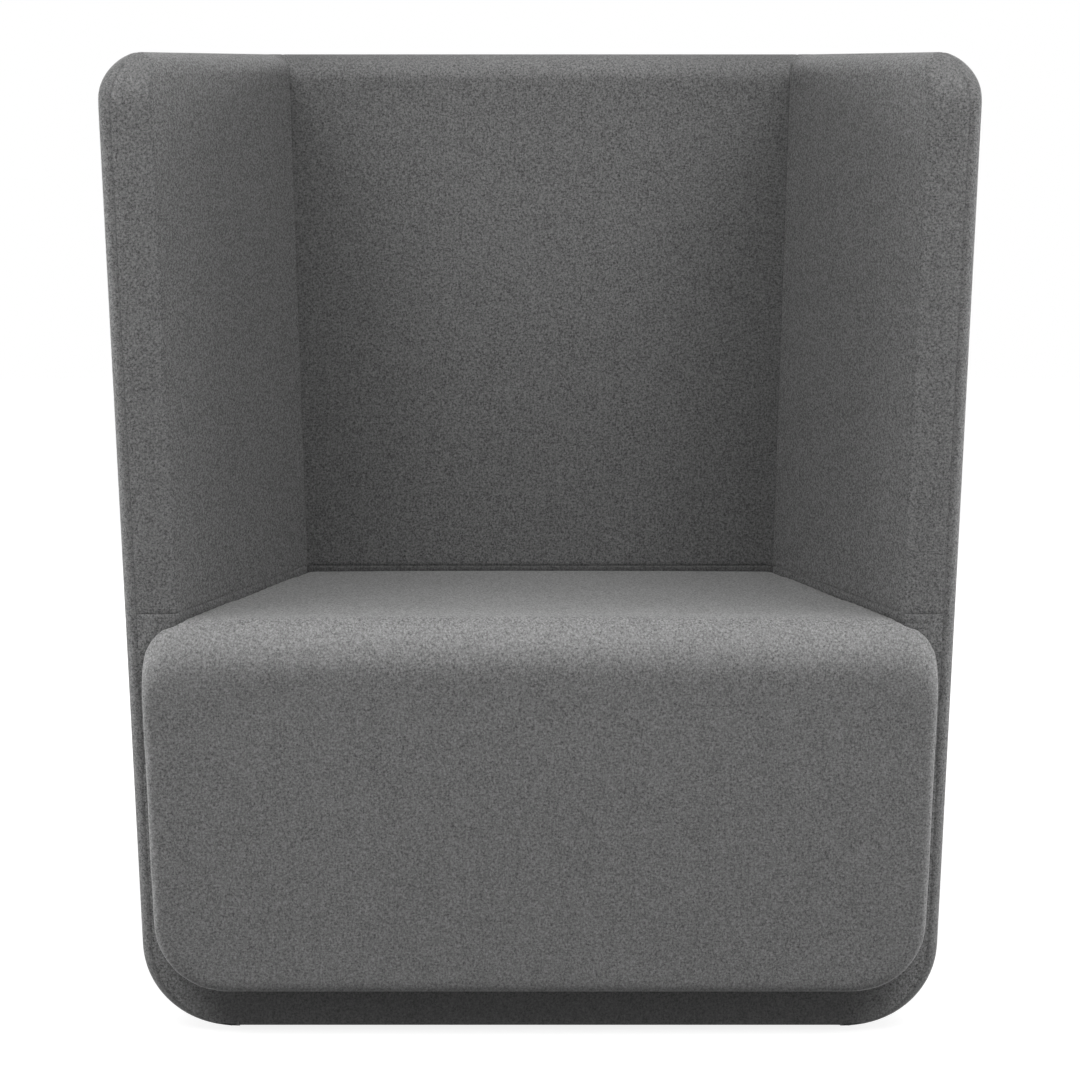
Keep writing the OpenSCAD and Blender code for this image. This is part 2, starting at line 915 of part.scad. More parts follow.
// Seat block: a wide nose in front of the wings and a body between them
side_edge = 10;
low_edge = 6;
body_top_radius = 4;
body_rear_roll = 16;
nose_front_y = front_y - nose_depth;
nose_rear_y = front_y - seat_gap;
seat_low = platform + seat_gap;
crown_shares = [0.7, 0.35, -0.35, -0.7];
function arc_drop(run, radius) = run >= radius ? 0 : radius - sqrt(radius ^ 2 - (radius - max(0, run)) ^ 2);
function seat_top(x, y, k) =
    let (run = y - nose_front_y - k)
    seat_height - k - rake * (y - front_y) + seat_crown * (1 - (x / floor_half) ^ 2)
        - arc_drop(run, nose_roll - k);
function top_row(half, y, k, drop) = [for (s = crown_shares) [half * s, seat_top(half * s, y, k) - drop]];
function nose_ring(y, k) =
    let (run = y - nose_front_y - k, side = k + arc_drop(run, side_edge - k))
    let (low = nose_low + k + arc_drop(run, low_edge - k))
    let (half = nose_half - side, top = seat_top(half, y, k))
    let (a = [half + lean * low, low], b = [half + lean * top, top])
    let (round_top = nose_top_radius - k, round_low = nose_low_radius - k)
    let (corners = concat([a, b], top_row(half, y, k, 0), [[-b.x, b.y], [-a.x, a.y]]))
    [for (p = rounded(corners, [round_low, round_top, 0, 0, 0, 0, round_top, round_low],
        [corner_steps, corner_steps, 0, 0, 0, 0, corner_steps, corner_steps])) [p.x, y, p.y]];
function body_half(y, z, k) = side_x(y, z, wing_thick + seat_gap) - k;
function body_ring(y, k, back_share, drop) =
    let (low = seat_low + k, half = body_half(y, seat_height - rake * (y - front_y), k))
    let (top = seat_top(half, y, k) - drop)
    let (a = [body_half(y, low, k), low], b = [half, top], r = body_top_radius - k)
    let (corners = concat([a, b], top_row(half, y, k, drop), [[-b.x, b.y], [-a.x, a.y]]))
    [for (p = rounded(corners, [0, r, 0, 0, 0, 0, r, 0], [0, edge_steps, 0, 0, 0, 0, edge_steps, 0]))
        let (shift = back_share * recline * (p.y - low))
        [p.x - sign(p.x) * splay * shift, y + shift, p.y]];
nose_step_shares = [0, 0.02, 0.07, 0.22, 0.55];
body_stations = [nose_roll - nose_depth, 3 * nose_roll, 6 * nose_roll];
module seat_form(k) {
    rear = back_y(seat_low, back_thick + seat_gap) - k;
    roll = body_rear_roll - k;
    join = nose_rear_y - k;
    nose_ys = concat([for (s = nose_step_shares) nose_front_y + k + s * nose_depth], [join]);
    loft([for (y = nose_ys) nose_ring(y, k)]);
    rear_runs = [roll, roll / 2, roll / 8, 0];
    loft(concat(
        [body_ring(join - layer_gap, k, 0, 0)],
        [for (s = body_stations) body_ring(front_y + s, k, 0, 0)],
        [for (s = rear_runs) body_ring(rear - s, k, 1, arc_drop(s, roll))]));
}

frame_in = foam_in + layer_gap;
seat_board_y = nose_rear_y - foam_in - board_t - layer_gap;
cloth_t = 1;
seat_rail_low = seat_low + cover_t + layer_gap;
strap_z = seat_rail_low + seat_rail_h;
foam_low = strap_z + 2 * strap_t + 3 * layer_gap;
base_foam_t = 42;
foam_split = foam_low + base_foam_t;
board_margin = 14;
module seat_front_board_solid(ease) {
    low = nose_low + board_margin;
    a = [nose_half + lean * low - board_margin, low];
    b = [nose_half + lean * foam_split - board_margin, foam_split];
    translate([0, seat_board_y + board_t + ease, 0])
        rotate([90, 0, 0])
            linear_extrude(board_t + 2 * ease)
                polygon(rounded([[a.x + ease, a.y - ease], [b.x + ease, b.y + ease],
                    [-b.x - ease, b.y + ease], [-a.x - ease, a.y - ease]],
                    [nose_low_radius - board_margin, 0, 0, nose_low_radius - board_margin],
                    [2 * edge_steps, 0, 0, 2 * edge_steps]));
}
module seat_front_board() {
    color(ply)
        difference() {
            seat_front_board_solid(0);
            at_seat_bolts(nose_front_y)
                cylinder(d = nut_barrel_d, h = front_reach, $fn = 48);
            at_seat_bolts(seat_board_y - overrun)
                cylinder(d = nut_flange_d, h = overrun + nut_flange_t, $fn = 48);
        }
}
function rail_x(y) = body_half(y, seat_rail_low, frame_in);
rail_front_y = seat_board_y + board_t + 2 * layer_gap;
rail_rear_y = back_y(seat_low, back_thick + seat_gap) - frame_in;
module seat_side_rail(side) {
    a = rail_x(rail_front_y);
    b = rail_x(rail_rear_y);
    on_side(side)
        translate([0, 0, seat_rail_low])
            linear_extrude(seat_rail_h)
                polygon([[a, rail_front_y], [b, rail_rear_y],
                    [b - seat_rail_t, rail_rear_y], [a - seat_rail_t, rail_front_y]]);
}
module seat_left_rail() {
    color(timber)
        seat_side_rail(-1);
}
module seat_right_rail() {
    color(timber)
        seat_side_rail(1);
}
module seat_back_rail() {
    y = rail_rear_y - seat_rail_t;
    a = rail_x(y) - seat_rail_t - layer_gap;
    b = rail_x(rail_rear_y) - seat_rail_t - layer_gap;
    color(timber)
        translate([0, 0, seat_rail_low])
            linear_extrude(seat_rail_h)
                polygon([[a, y], [b, rail_rear_y], [-b, rail_rear_y], [-a, y]]);
}
strap_span = 2 * (rail_x(rail_rear_y) - seat_rail_t) - strap_w;
module seat_straps() {
    color(webbing)
        for (i = [0 : strap_count - 1])
            translate([(i / (strap_count - 1) - 1 / 2) * strap_span - strap_w / 2, rail_front_y, strap_z])
                cube([strap_w, rail_rear_y - rail_front_y, strap_t]);
}
cross_count = 4;
module seat_cross_straps() {
    length = rail_rear_y - rail_front_y;
    color(webbing)
        for (i = [1 : cross_count]) {
            y = rail_front_y + length * i / (cross_count + 1);
            x = rail_x(y + strap_w / 2);
            translate([-x, y - strap_w / 2, strap_z + strap_t + layer_gap])
                cube([2 * x, strap_w, strap_t]);
        }
}
module seat_base_foam() {
    color(foam)
        intersection() {
            seat_form(foam_in);
            above(foam_low);
            below(foam_split);
            behind(rail_front_y);
        }
}
module seat_top_foam() {
    color(foam)
        intersection() {
            seat_form(foam_in);
            above(foam_split + layer_gap);
        }
}
module seat_nose_foam() {
    color(foam)
        difference() {
            intersection() {
                seat_form(foam_in);
                below(foam_split);
            }
            behind(rail_front_y - layer_gap);
            seat_front_board_solid(layer_gap);
        }
}
hem = 20;
function hem_outline(ease) =
    let (y0 = rail_front_y + hem + ease, y1 = rail_rear_y - hem - ease)
    let (a = rail_x(y0) - hem - ease, b = rail_x(y1) - hem - ease)
    [[a, y0], [b, y1], [-b, y1], [-a, y0]];
module seat_cover() {
    color(felt)
        difference() {
            seat_form(0);
            seat_form(cover_t);
            translate([0, 0, seat_low - overrun])
                linear_extrude(overrun + 2 * cover_t)
                    polygon(hem_outline(0));
            at_seat_bolts(seat_board_y)
                cylinder(d = seat_bolt_d, h = front_reach, $fn = 48);
        }
}
module seat_under_cloth() {
    color(plastic)
        translate([0, 0, seat_low + layer_gap])
            linear_extrude(cloth_t)
                polygon(hem_outline(layer_gap));
}

// Bolts through the front rail of the base into tee nuts in the front board of the seat
seat_bolt_x_share = 0.62;
seat_bolt_z_shares = [0.25, 0.75];
seat_bolt_d = bolt_d + bolt_clear;
module at_seat_bolts(y) {
    for (side = [-1, 1], s = seat_bolt_z_shares)
        translate([side * seat_bolt_x_share * nose_half, y, nose_low + s * (platform - nose_low)])
            rotate([-90, 0, 0])
                children();
}
module seat_bolt_holes() {
    at_seat_bolts(nose_front_y)
        cylinder(d = seat_bolt_d, h = front_reach, $fn = 48);
}
module seat_bolts() {
    color(steel) {
        at_seat_bolts(seat_board_y + nut_flange_t)
            cylinder(d = bolt_d, h = front_rail_y + rail_t - seat_board_y - nut_flange_t, $fn = 48);
        at_seat_bolts(front_rail_y + rail_t)
            cylinder(d = bolt_head_d, h = bolt_head_t, $fn = 48);
    }
}
module seat_tee_nuts() {
    color(steel)
        at_seat_bolts(seat_board_y)
            difference() {
                union() {
                    cylinder(d = nut_flange_d, h = nut_flange_t, $fn = 48);
                    cylinder(d = nut_barrel_d, h = nut_barrel_t, $fn = 48);
                }
                translate([0, 0, -overrun])
                    cylinder(d = bolt_d + bolt_clear / 2, h = 2 * overrun, $fn = 48);
            }
}

base_board();
base_front_rail();
base_cross_rail();
base_back_rail();
base_left_rail();
base_right_rail();
left_corner_former();
right_corner_former();
left_wing_board();
right_wing_board();
back_board();
left_corner_post();
right_corner_post();
left_wing_core();
right_wing_core();
back_core();
left_wing_outer_foam();
right_wing_outer_foam();
back_outer_foam();
left_wing_inner_foam();
right_wing_inner_foam();
back_inner_foam();
left_wing_cover();
right_wing_cover();
back_cover();
left_lining_cover();
right_lining_cover();
back_lining_cover();
left_outer_cover();
right_outer_cover();
back_outer_cover();
base_front_cover();
base_dust_cover();
shell_bolts();
shell_tee_nuts();
glide_tee_nuts();
seat_front_board();
seat_left_rail();
seat_right_rail();
seat_back_rail();
seat_straps();
seat_cross_straps();
seat_base_foam();
seat_top_foam();
seat_nose_foam();
seat_cover();
seat_under_cloth();
seat_bolts();
seat_tee_nuts();
front_left_glide();
front_right_glide();
rear_left_glide();
rear_right_glide();
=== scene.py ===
import json
import math

import bmesh
import bpy
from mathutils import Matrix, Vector
from mathutils.kdtree import KDTree


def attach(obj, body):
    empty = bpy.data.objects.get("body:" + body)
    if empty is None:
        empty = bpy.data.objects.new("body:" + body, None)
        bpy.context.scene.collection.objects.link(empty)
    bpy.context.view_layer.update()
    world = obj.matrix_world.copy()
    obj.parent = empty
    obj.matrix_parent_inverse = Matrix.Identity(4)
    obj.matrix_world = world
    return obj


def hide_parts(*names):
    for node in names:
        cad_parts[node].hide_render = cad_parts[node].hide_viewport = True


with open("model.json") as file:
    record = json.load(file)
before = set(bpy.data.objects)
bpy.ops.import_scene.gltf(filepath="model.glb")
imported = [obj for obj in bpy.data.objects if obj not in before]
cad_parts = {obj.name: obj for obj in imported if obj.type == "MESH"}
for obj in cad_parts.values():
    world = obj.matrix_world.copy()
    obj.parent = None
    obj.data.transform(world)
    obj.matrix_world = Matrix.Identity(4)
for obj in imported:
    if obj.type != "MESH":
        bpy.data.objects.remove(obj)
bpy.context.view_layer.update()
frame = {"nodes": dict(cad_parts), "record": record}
nodes = frame["nodes"]

# Sizes of the tub, in metres: walls, leans and roundings
HEIGHT, FLOOR_HALF, FRONT_Y, REAR_Y = 1.079, 0.4403, -0.299, 0.344
LEAN, SPLAY, RECLINE, RAKE = (math.tan(math.radians(a)) for a in (2.3, 11.8, 2.5, 1.45))
SIDE_SLOPE = math.hypot(1, SPLAY, LEAN)
BACK_SLOPE = math.hypot(1, RECLINE)
GAP, WING_T, BACK_T = 0.006, 0.0585, 0.084
LOW_R, LOW_BACK_R, CORNER_R, CREST_R = 0.089, 0.040, 0.090, 0.062
WING_ROLL, BACK_ROLL, BROW_R, EDGE_R = 0.024, 0.032, 0.060, 0.012
SEAM_IN, SEAM_SWING, BACK_SEAM_Z = 0.014, 0.119, 1.0695
RIDGE_R = 0.050
PLATFORM, LINING_Z = 0.300, 0.467
DUST_LAP, DUST_FRONT_IN, DUST_REAR_LAP = 0.012, 0.056, 0.040
BASE_EDGE = 0.004
EDGE_SHARE, LEAST_WALL = 0.46, 0.0001

# Sizes of the felt: its thickness, the tuck along a seam, and the second line of stitching
PANEL_T, BASE_PANEL_T = 0.005, 0.0025
SEAM_TUCK, SEAM_TRACE, SEAM_WIDTH, SEAM_TAIL = 0.0009, 0.0001, 0.0035, 0.03
CREASE_NEAR = 0.004
STITCH_DROP, STITCH_DEPTH, STITCH_HALF = 0.0102, 0.0004, 0.0016

# Sizes of the seat block
SEAT_H, SEAT_CROWN, NOSE_DEPTH, NOSE_HALF = 0.460, 0.0025, 0.045, 0.419
NOSE_LOW, NOSE_ROLL, NOSE_TOP_R, NOSE_LOW_R = 0.0535, 0.060, 0.045, 0.078
SIDE_EDGE, LOW_EDGE, BODY_TOP_R, BODY_REAR_R = 0.010, 0.005, 0.004, 0.016
SEAT_GAP, BODY_LAP = 0.0005, 0.006
NOSE_FRONT = FRONT_Y - NOSE_DEPTH
NOSE_REAR = FRONT_Y - SEAT_GAP
SEAT_LOW = PLATFORM + SEAT_GAP
VOXEL, RELAX_SHARE, RELAX_ROUNDS = 0.006, 0.5, 3
SWELL_CAP, SWELL_FRAMES = 0.003, 20

# Distances under which points are welded or lie on the middle line, and the least step of a grid
PANEL_WELD, LOFT_WELD, MIRROR_WELD, MIDDLE_NEAR = 0.00015, 0.0001, 0.0002, 0.0003
OFF_MIDDLE, LEAST_STEP = 0.001, 0.0004


# Outline functions of the tub
def mix(a, b, t):
    return a + (b - a) * t


def arc_gap(radius, run):
    """How far an arc has left its tangent after a run along it."""
    return radius - math.sqrt(max(0.0, radius**2 - run**2))


def side_x(y, z, depth):
    """X of the tub's side wall, a depth in from its outer face."""
    return FLOOR_HALF + LEAN * z - SPLAY * (y - FRONT_Y) - depth * SIDE_SLOPE


def crest_lift(thick, roll):
    """Rise of the centre of the crest's inner roll over the centre of its outer arc."""
    return math.sqrt((CREST_R - roll) ** 2 - (CREST_R - thick + roll) ** 2)


BACK_RISE = crest_lift(BACK_T, BACK_ROLL) + BACK_ROLL


def back_y(z, depth):
    """Y of the tub's back wall, a depth in from its outer face."""
    return REAR_Y - RECLINE * (HEIGHT - BACK_RISE - z) - depth * BACK_SLOPE


def low_inset(z, radius):
    """How far the rounded lower edge stands in at a height."""
    drop = GAP + radius - z
    return arc_gap(radius, drop) if drop > 0 else 0.0


def crest_inset(z, thick, roll):
    """How far the outer side of the crest stands in at a height."""
    lift = crest_lift(thick, roll)
    up = z - HEIGHT + lift + roll
    if up <= 0:
        return 0.0
    if up < CREST_R * lift / (CREST_R - roll):
        return arc_gap(CREST_R, up)
    return thick - roll - math.sqrt(max(0.0, roll**2 - (up - lift) ** 2))


def inner_inset(z, thick, roll):
    """Depth of the inner face at a height, rolled outwards at the crest."""
    up = z - HEIGHT + roll
    return thick - arc_gap(roll, up) if up > 0 else thick


def brow_inset(z):
    """How far the rounded top of a wing's front stands back at a height."""
    up = z - HEIGHT + BROW_R
    return arc_gap(BROW_R, up) if up > 0 else 0.0


def seam_depth(z):
    """Depth of the seam on a wing's front: even, but swung inwards at the crest."""
    up = z - HEIGHT + CREST_R
    return SEAM_IN + low_inset(z, LOW_R) + (arc_gap(SEAM_SWING, up) if up > 0 else 0.0)


def corner(before, at, after, radius):
    """The arc that rounds a corner: its centre, its first spoke and its turn."""
    u, w = (before - at).normalized(), (after - at).normalized()
    half = math.acos(max(-1.0, min(1.0, u.dot(w)))) / 2
    centre = at + (u + w).normalized() * radius / math.sin(half)
    spoke = at + u * radius / math.tan(half) - centre
    end = at + w * radius / math.tan(half) - centre
    turn = (math.pi - 2 * half) * (1 if spoke.x * end.y - spoke.y * end.x > 0 else -1)
    return centre, spoke, turn


def on_arc(arc, t):
    centre, spoke, turn = arc
    c, s = math.cos(turn * t), math.sin(turn * t)
    return centre + Vector((spoke.x * c - spoke.y * s, spoke.x * s + spoke.y * c))


class Ring:
    """One level of the right half of the tub, seen in plan."""

    def __init__(self, z, flange=0.0):
        front = FRONT_Y + brow_inset(z)
        side = low_inset(z, LOW_R) + crest_inset(z, WING_T, WING_ROLL) + flange * DUST_LAP
        rear_in = low_inset(z, LOW_BACK_R) + crest_inset(z, BACK_T, BACK_ROLL)
        rear = back_y(z, rear_in + flange * DUST_REAR_LAP)
        wall = inner_inset(z, WING_T, WING_ROLL)
        lining = back_y(z, inner_inset(z, BACK_T, BACK_ROLL))
        edge = min(EDGE_R, EDGE_SHARE * max(wall - side, LEAST_WALL)) if z > LOW_R else EDGE_R
        up = max(0.0, z - HEIGHT + BACK_ROLL)
        round_in = RIDGE_R * arc_gap(BACK_ROLL, up) / BACK_ROLL
        round_out = mix(CORNER_R, RIDGE_R, crest_inset(z, BACK_T, BACK_ROLL) / (BACK_T - BACK_ROLL))
        b = Vector((side_x(rear, z, side), rear))
        a = Vector((side_x(front, z, side), front))
        self.middle = Vector((0, rear))
        self.rear_arc = corner(self.middle, b, a, round_out)
        self.crease = Vector((side_x(lining, z, wall), lining))
        mouth = Vector((side_x(front, z, wall if z > LOW_R else side + WING_T), front))
        self.edge_arc = corner(b, a, mouth, edge)
        self.mouth_arc = corner(a, mouth, self.crease, edge)
        self.inner_middle = Vector((0, lining))
        self.crease_arc = corner(mouth, self.crease, self.inner_middle, round_in)
        self.half_turn = round_in * abs(self.crease_arc[2]) / 2
        self.wall_len = (on_arc(self.crease_arc, 0) - on_arc(self.mouth_arc, 1)).length
        self.lining_len = (on_arc(self.crease_arc, 1) - self.inner_middle).length
        gap = max(0.0, seam_depth(z) - side)
        arc_len = edge * abs(self.edge_arc[2])
        line = (on_arc(self.edge_arc, 1) - on_arc(self.mouth_arc, 0)).length
        self.arc_len, self.front_len = arc_len, arc_len + line
        seam = edge * math.acos(1 - gap / edge) if gap < edge else arc_len + gap - edge
        self.seam = min(seam, self.front_len)

    def front(self, run):
        """The point of the wing's front, a run inwards from the outer side."""
        if run <= self.arc_len:
            return on_arc(self.edge_arc, run / max(self.arc_len, 1e-9))
        start, end = on_arc(self.edge_arc, 1), on_arc(self.mouth_arc, 0)
        return start.lerp(end, (run - self.arc_len) / max(self.front_len - self.arc_len, 1e-9))


def graded(length, step, near=(), far=()):
    """Shares of a length in even steps, with closer ones beside a seam at either end."""
    inner = [n / length for n in near] + [1 - f / length for f in reversed(far)]
    low, high = (near[-1] if near else 0) / length, 1 - (far[-1] if far else 0) / length
    count = max(1, round((high - low) * length / step))
    even = [mix(low, high, i / count) for i in range(count + 1)]
    found = sorted({0.0, 1.0, *inner, *even})
    return [found[0]] + [b for a, b in zip(found, found[1:]) if b - a > LEAST_STEP]


# Stations round the tub: the run they lie on and their share of it
SEAM_STEPS = (0.0012, 0.003, 0.0055, 0.009)
STITCH_STEPS = (0.0095, STITCH_DROP, 0.0112, 0.0125, 0.015)
STEP, OUTER_STEP, TURN_STEPS, MOUTH_STEPS, CREST_STEPS = 0.0095, 0.0105, 16, 5, 18
BACK_RUN, SIDE_RUN, WALL_RUN = 0.28, 0.50, 0.53
OUTER_RISE, LINING_RISE, INNER_RISE = 0.915, 0.167, 0.552
rear_straight = [("back", t) for t in graded(BACK_RUN, STEP)]
rear_turn = [("turn", i / TURN_STEPS) for i in range(1, TURN_STEPS + 1)]
side_run = [("side", t) for t in graded(SIDE_RUN, STEP, SEAM_STEPS)]
seam_edge = [("edge", t) for t in (0.25, 0.5, 0.72, 0.86, 0.95, 1)]
strip = [("strip", t) for t in (0, 0.04, 0.1, 0.18, 0.3, 0.42, 0.55, 0.68, 0.8, 0.92)]
mouth_run = [("mouth", i / MOUTH_STEPS) for i in range(MOUTH_STEPS + 1)]
wall_run = [("wall", t) for t in graded(WALL_RUN, STEP, (), SEAM_STEPS)[1:]]
lining_run = [("lining", t) for t in graded(BACK_RUN, STEP, SEAM_STEPS)]


def plan_point(ring, station):
    """Where a station lies on a level of the tub, seen in plan."""
    kind, t = station
    if kind == "back":
        return ring.middle.lerp(on_arc(ring.rear_arc, 0), t)
    if kind == "turn":
        return on_arc(ring.rear_arc, t)
    if kind == "side":
        return on_arc(ring.rear_arc, 1).lerp(on_arc(ring.edge_arc, 0), t)
    if kind == "edge":
        return ring.front(ring.seam * t)
    if kind == "strip":
        return ring.front(mix(ring.seam, ring.front_len, t))
    if kind == "mouth":
        return on_arc(ring.mouth_arc, t)
    kind, t = shared(ring, station)
    if kind == "wall":
        return on_arc(ring.mouth_arc, 1).lerp(on_arc(ring.crease_arc, 0), t)
    if kind == "crease":
        return on_arc(ring.crease_arc, t)
    return on_arc(ring.crease_arc, 1).lerp(ring.inner_middle, t)


def shared(ring, station):
    """Splits a run on the inner face between its straight part and its half of the crease."""
    kind, t = station
    straight = ring.wall_len if kind == "wall" else ring.lining_len
    run = t * (straight + ring.half_turn)
    if kind == "wall":
        if run <= straight:
            return "wall", run / straight
        return "crease", 0.5 * (run - straight) / ring.half_turn
    if run < ring.half_turn:
        return "crease", 0.5 + 0.5 * run / ring.half_turn
    return "lining", (run - ring.half_turn) / straight


def over_crest(station):
    """The outer station across the crest from an inner one."""
    if station[0] in ("strip", "mouth"):
        return "side", 1.0
    kind, t = shared(ring_at(HEIGHT), station)
    if kind == "wall":
        return "side", 1 - t
    if kind == "crease":
        return "turn", 1 - t
    return "back", 1 - t


def crest_seam_z(station):
    """Height of the seam on the outer side of the crest: low on the back, on the ridge over the wings."""
    kind, t = station
    if kind == "back":
        return BACK_SEAM_Z
    if kind == "turn":
        return mix(BACK_SEAM_Z, HEIGHT, t * t * (3 - 2 * t))
    return HEIGHT


rings = {}


def ring_at(z, flange=0.0):
    key = (round(z, 6), flange)
    if key not in rings:
        rings[key] = Ring(z, flange)
    return rings[key]


# Rows of the panels: each is a rule that turns a station into a point
def level(z, flange=0.0):
    """A row at one height; its flange is the share of the lap under the base."""
    def place(station):
        p = plan_point(ring_at(z, flange), station)
        return Vector((p.x, p.y, z))

    return place


def raked(share_low, share_high, t):
    """A row between two heights that fall towards the back by a share of the seat's rake."""
    (z0, w0), (z1, w1) = share_low, share_high

    def place(station):
        y = plan_point(ring_at(mix(z0, z1, t)), station).y - FRONT_Y
        z = mix(z0 - RAKE * w0 * y, z1 - RAKE * w1 * y, t)
        p = plan_point(ring_at(z), station)
        return Vector((p.x, p.y, z))

    return place


def to_crest_seam(t):
    """A row on the outer side, a share of the way from the crest's start to its seam."""

    def place(station):
        top = crest_seam_z(station)
        turn = math.asin((top - HEIGHT + CREST_R) / CREST_R)
        z = HEIGHT - CREST_R + CREST_R * math.sin(turn * t)
        p = plan_point(ring_at(z), station)
        return Vector((p.x, p.y, z))

    return place


def past_ridge(t):
    """A row on the outer side, a share of the way from the ridge down to the crest's seam."""

    def place(station):
        outer = over_crest(station)
        z = HEIGHT - (HEIGHT - crest_seam_z(outer)) * t * t
        p = plan_point(ring_at(z), outer)
        return Vector((p.x, p.y, z))

    return place


CREST_ANGLES = (6, 12, 18, 24, 30, 35, 40, 45, 50, 55, 60, 65, 70, 75, 80, 84, 87.5, 90)
CREST_LOW = HEIGHT - CREST_R
low_rows = [level(GAP, flange) for flange in (1, 0.94, 0.8, 0.55, 0.3)]
low_rows += [level(GAP + LOW_R * (1 - math.cos(math.radians(a)))) for a in range(0, 91, 6)]
outer_wall = [level(mix(GAP + LOW_R, CREST_LOW, t)) for t in graded(OUTER_RISE, OUTER_STEP)[1:]]
outer_rows = low_rows + outer_wall + [to_crest_seam(i / CREST_STEPS) for i in range(1, CREST_STEPS + 1)]
lining_rows = [raked((PLATFORM, 0), (LINING_Z, 1), t)
               for t in graded(LINING_RISE, STEP, (), SEAM_STEPS + STITCH_STEPS)]
inner_rows = [raked((LINING_Z, 1), (CREST_LOW, 0), t) for t in graded(INNER_RISE, STEP, SEAM_STEPS)]
inner_rows += [level(CREST_LOW + CREST_R * math.sin(math.radians(a))) for a in CREST_ANGLES]
inner_rows += [past_ridge(t) for t in (0, 0.2, 0.4, 0.55, 0.7, 0.82, 0.91, 0.965, 1)]


def base_row(y_in, z):
    """A row of the front of the base, from the edge seam to the middle."""

    def place(station):
        x = side_x(FRONT_Y + y_in, z, seam_depth(z))
        return Vector((x * station[1], FRONT_Y + y_in, z))

    return place


BASE_RUN, BASE_RISE, BASE_STEP, BASE_ROW_STEP = 0.42, 0.29, 0.012, 0.01
base_columns = [("base", 1 - t) for t in graded(BASE_RUN, BASE_STEP, SEAM_STEPS)]
base_rows = [base_row(DUST_FRONT_IN * t, GAP) for t in (1, 0.8, 0.6, 0.4, 0.25)]
for degrees in range(0, 91, 15):
    a = math.radians(degrees)
    base_rows.append(base_row(BASE_EDGE * (1 - math.sin(a)), GAP + BASE_EDGE * (1 - math.cos(a))))
base_rows += [base_row(0, mix(GAP + BASE_EDGE, PLATFORM, t)) for t in graded(BASE_RISE, BASE_ROW_STEP)[1:]]


# Panels are grids of quads, moved into place row by row
def new_object(name, bm):
    mesh = bpy.data.meshes.new(name)
    bm.to_mesh(mesh)
    bm.free()
    for poly in mesh.polygons:
        poly.use_smooth = True
    piece = bpy.data.objects.new(name, mesh)
    bpy.context.scene.collection.objects.link(piece)
    return piece


def quad_grid(across, up, place, weld):
    """A grid of quads whose point i, j lies where the rule places it."""
    bm = bmesh.new()
    bmesh.ops.create_grid(bm, x_segments=across, y_segments=up, size=0.5)
    for v in bm.verts:
        v.co = place(round((v.co.x + 0.5) * across), round((v.co.y + 0.5) * up))
    bmesh.ops.remove_doubles(bm, verts=bm.verts[:], dist=weld)
    return bm


def grid(columns, rows):
    return quad_grid(len(columns) - 1, len(rows) - 1, lambda i, j: rows[j](columns[i]), PANEL_WELD)


def mirror_half(bm):
    bmesh.ops.mirror(bm, geom=bm.verts[:] + bm.edges[:] + bm.faces[:], axis="X", merge_dist=MIRROR_WELD)


def mirrored(bm, keep_both):
    """The left twin of a right half, welded to it along the middle or in its place."""
    if keep_both:
        mirror_half(bm)
        middle = [v for v in bm.verts if abs(v.co.x) < MIDDLE_NEAR]
        for v in middle:
            v.co.x = 0
        bmesh.ops.remove_doubles(bm, verts=middle, dist=MIRROR_WELD)
        bmesh.ops.recalc_face_normals(bm, faces=bm.faces[:])
    else:
        bmesh.ops.scale(bm, vec=(-1, 1, 1), verts=bm.verts[:])
        bmesh.ops.reverse_faces(bm, faces=bm.faces[:])


def face_outwards(bm, inside):
    """Turns the panel so that its faces look away from the board behind it."""
    bm.normal_update()
    toward = sum((f.normal.dot(f.calc_center_median() - inside) * f.calc_area() for f in bm.faces), 0.0)
    if toward < 0:
        bmesh.ops.reverse_faces(bm, faces=bm.faces[:])
    bm.normal_update()


def tuck_at(co):
    """Depth of a seam: none in the sharp crease, a trace low down on the front."""
    ring = ring_at(min(co.z, HEIGHT))
    if (co.xy - Vector((math.copysign(ring.crease.x, co.x), ring.crease.y))).length < CREASE_NEAR:
        return 0.0
    if co.y < FRONT_Y + BROW_R and co.z < LINING_Z - SEAM_TAIL:
        return SEAM_TRACE
    return SEAM_TUCK


def tuck_seams(bm, groove=None):
    """Draws the panel in along its seams, and along a stitched line where it has one."""
    rim = [v for v in bm.verts if v.is_boundary]
    depths = [tuck_at(v.co) for v in rim]
    tree = KDTree(len(rim))
    for i, v in enumerate(rim):
        tree.insert(v.co, i)
    tree.balance()
    moves = []
    for v in bm.verts:
        _, i, gap = tree.find(v.co)
        drop = depths[i] * max(0.0, 1 - gap / SEAM_WIDTH) ** 2
        if groove:
            drop += groove(v.co)
        if drop:
            moves.append((v, v.co - v.normal * drop))
    for v, co in moves:
        v.co = co


def pad(name, bm, material, replaced, thick=PANEL_T):
    """A padded panel: its face, its thickness over the board, and its finish."""
    piece = new_object(name, bm)
    wall = piece.modifiers.new("thickness", "SOLIDIFY")
    wall.thickness = thick
    wall.offset = -1
    wall.edge_crease_outer = 1.0
    wall.edge_crease_rim = 1.0
    wall.edge_crease_inner = 1.0
    smooth = piece.modifiers.new("smooth", "SUBSURF")
    smooth.levels = smooth.render_levels = 1
    piece.data.materials.append(material)
    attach(piece, "chair")
    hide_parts(*replaced)


# Shader node groups, each built once
def sockets(group, inputs, outputs):
    for name, kind, value in inputs:
        s = group.interface.new_socket(name, in_out="INPUT", socket_type=kind)
        if value is not None:
            s.default_value = value
    for name, kind in outputs:
        group.interface.new_socket(name, in_out="OUTPUT", socket_type=kind)
    return group.nodes.new("NodeGroupInput"), group.nodes.new("NodeGroupOutput")


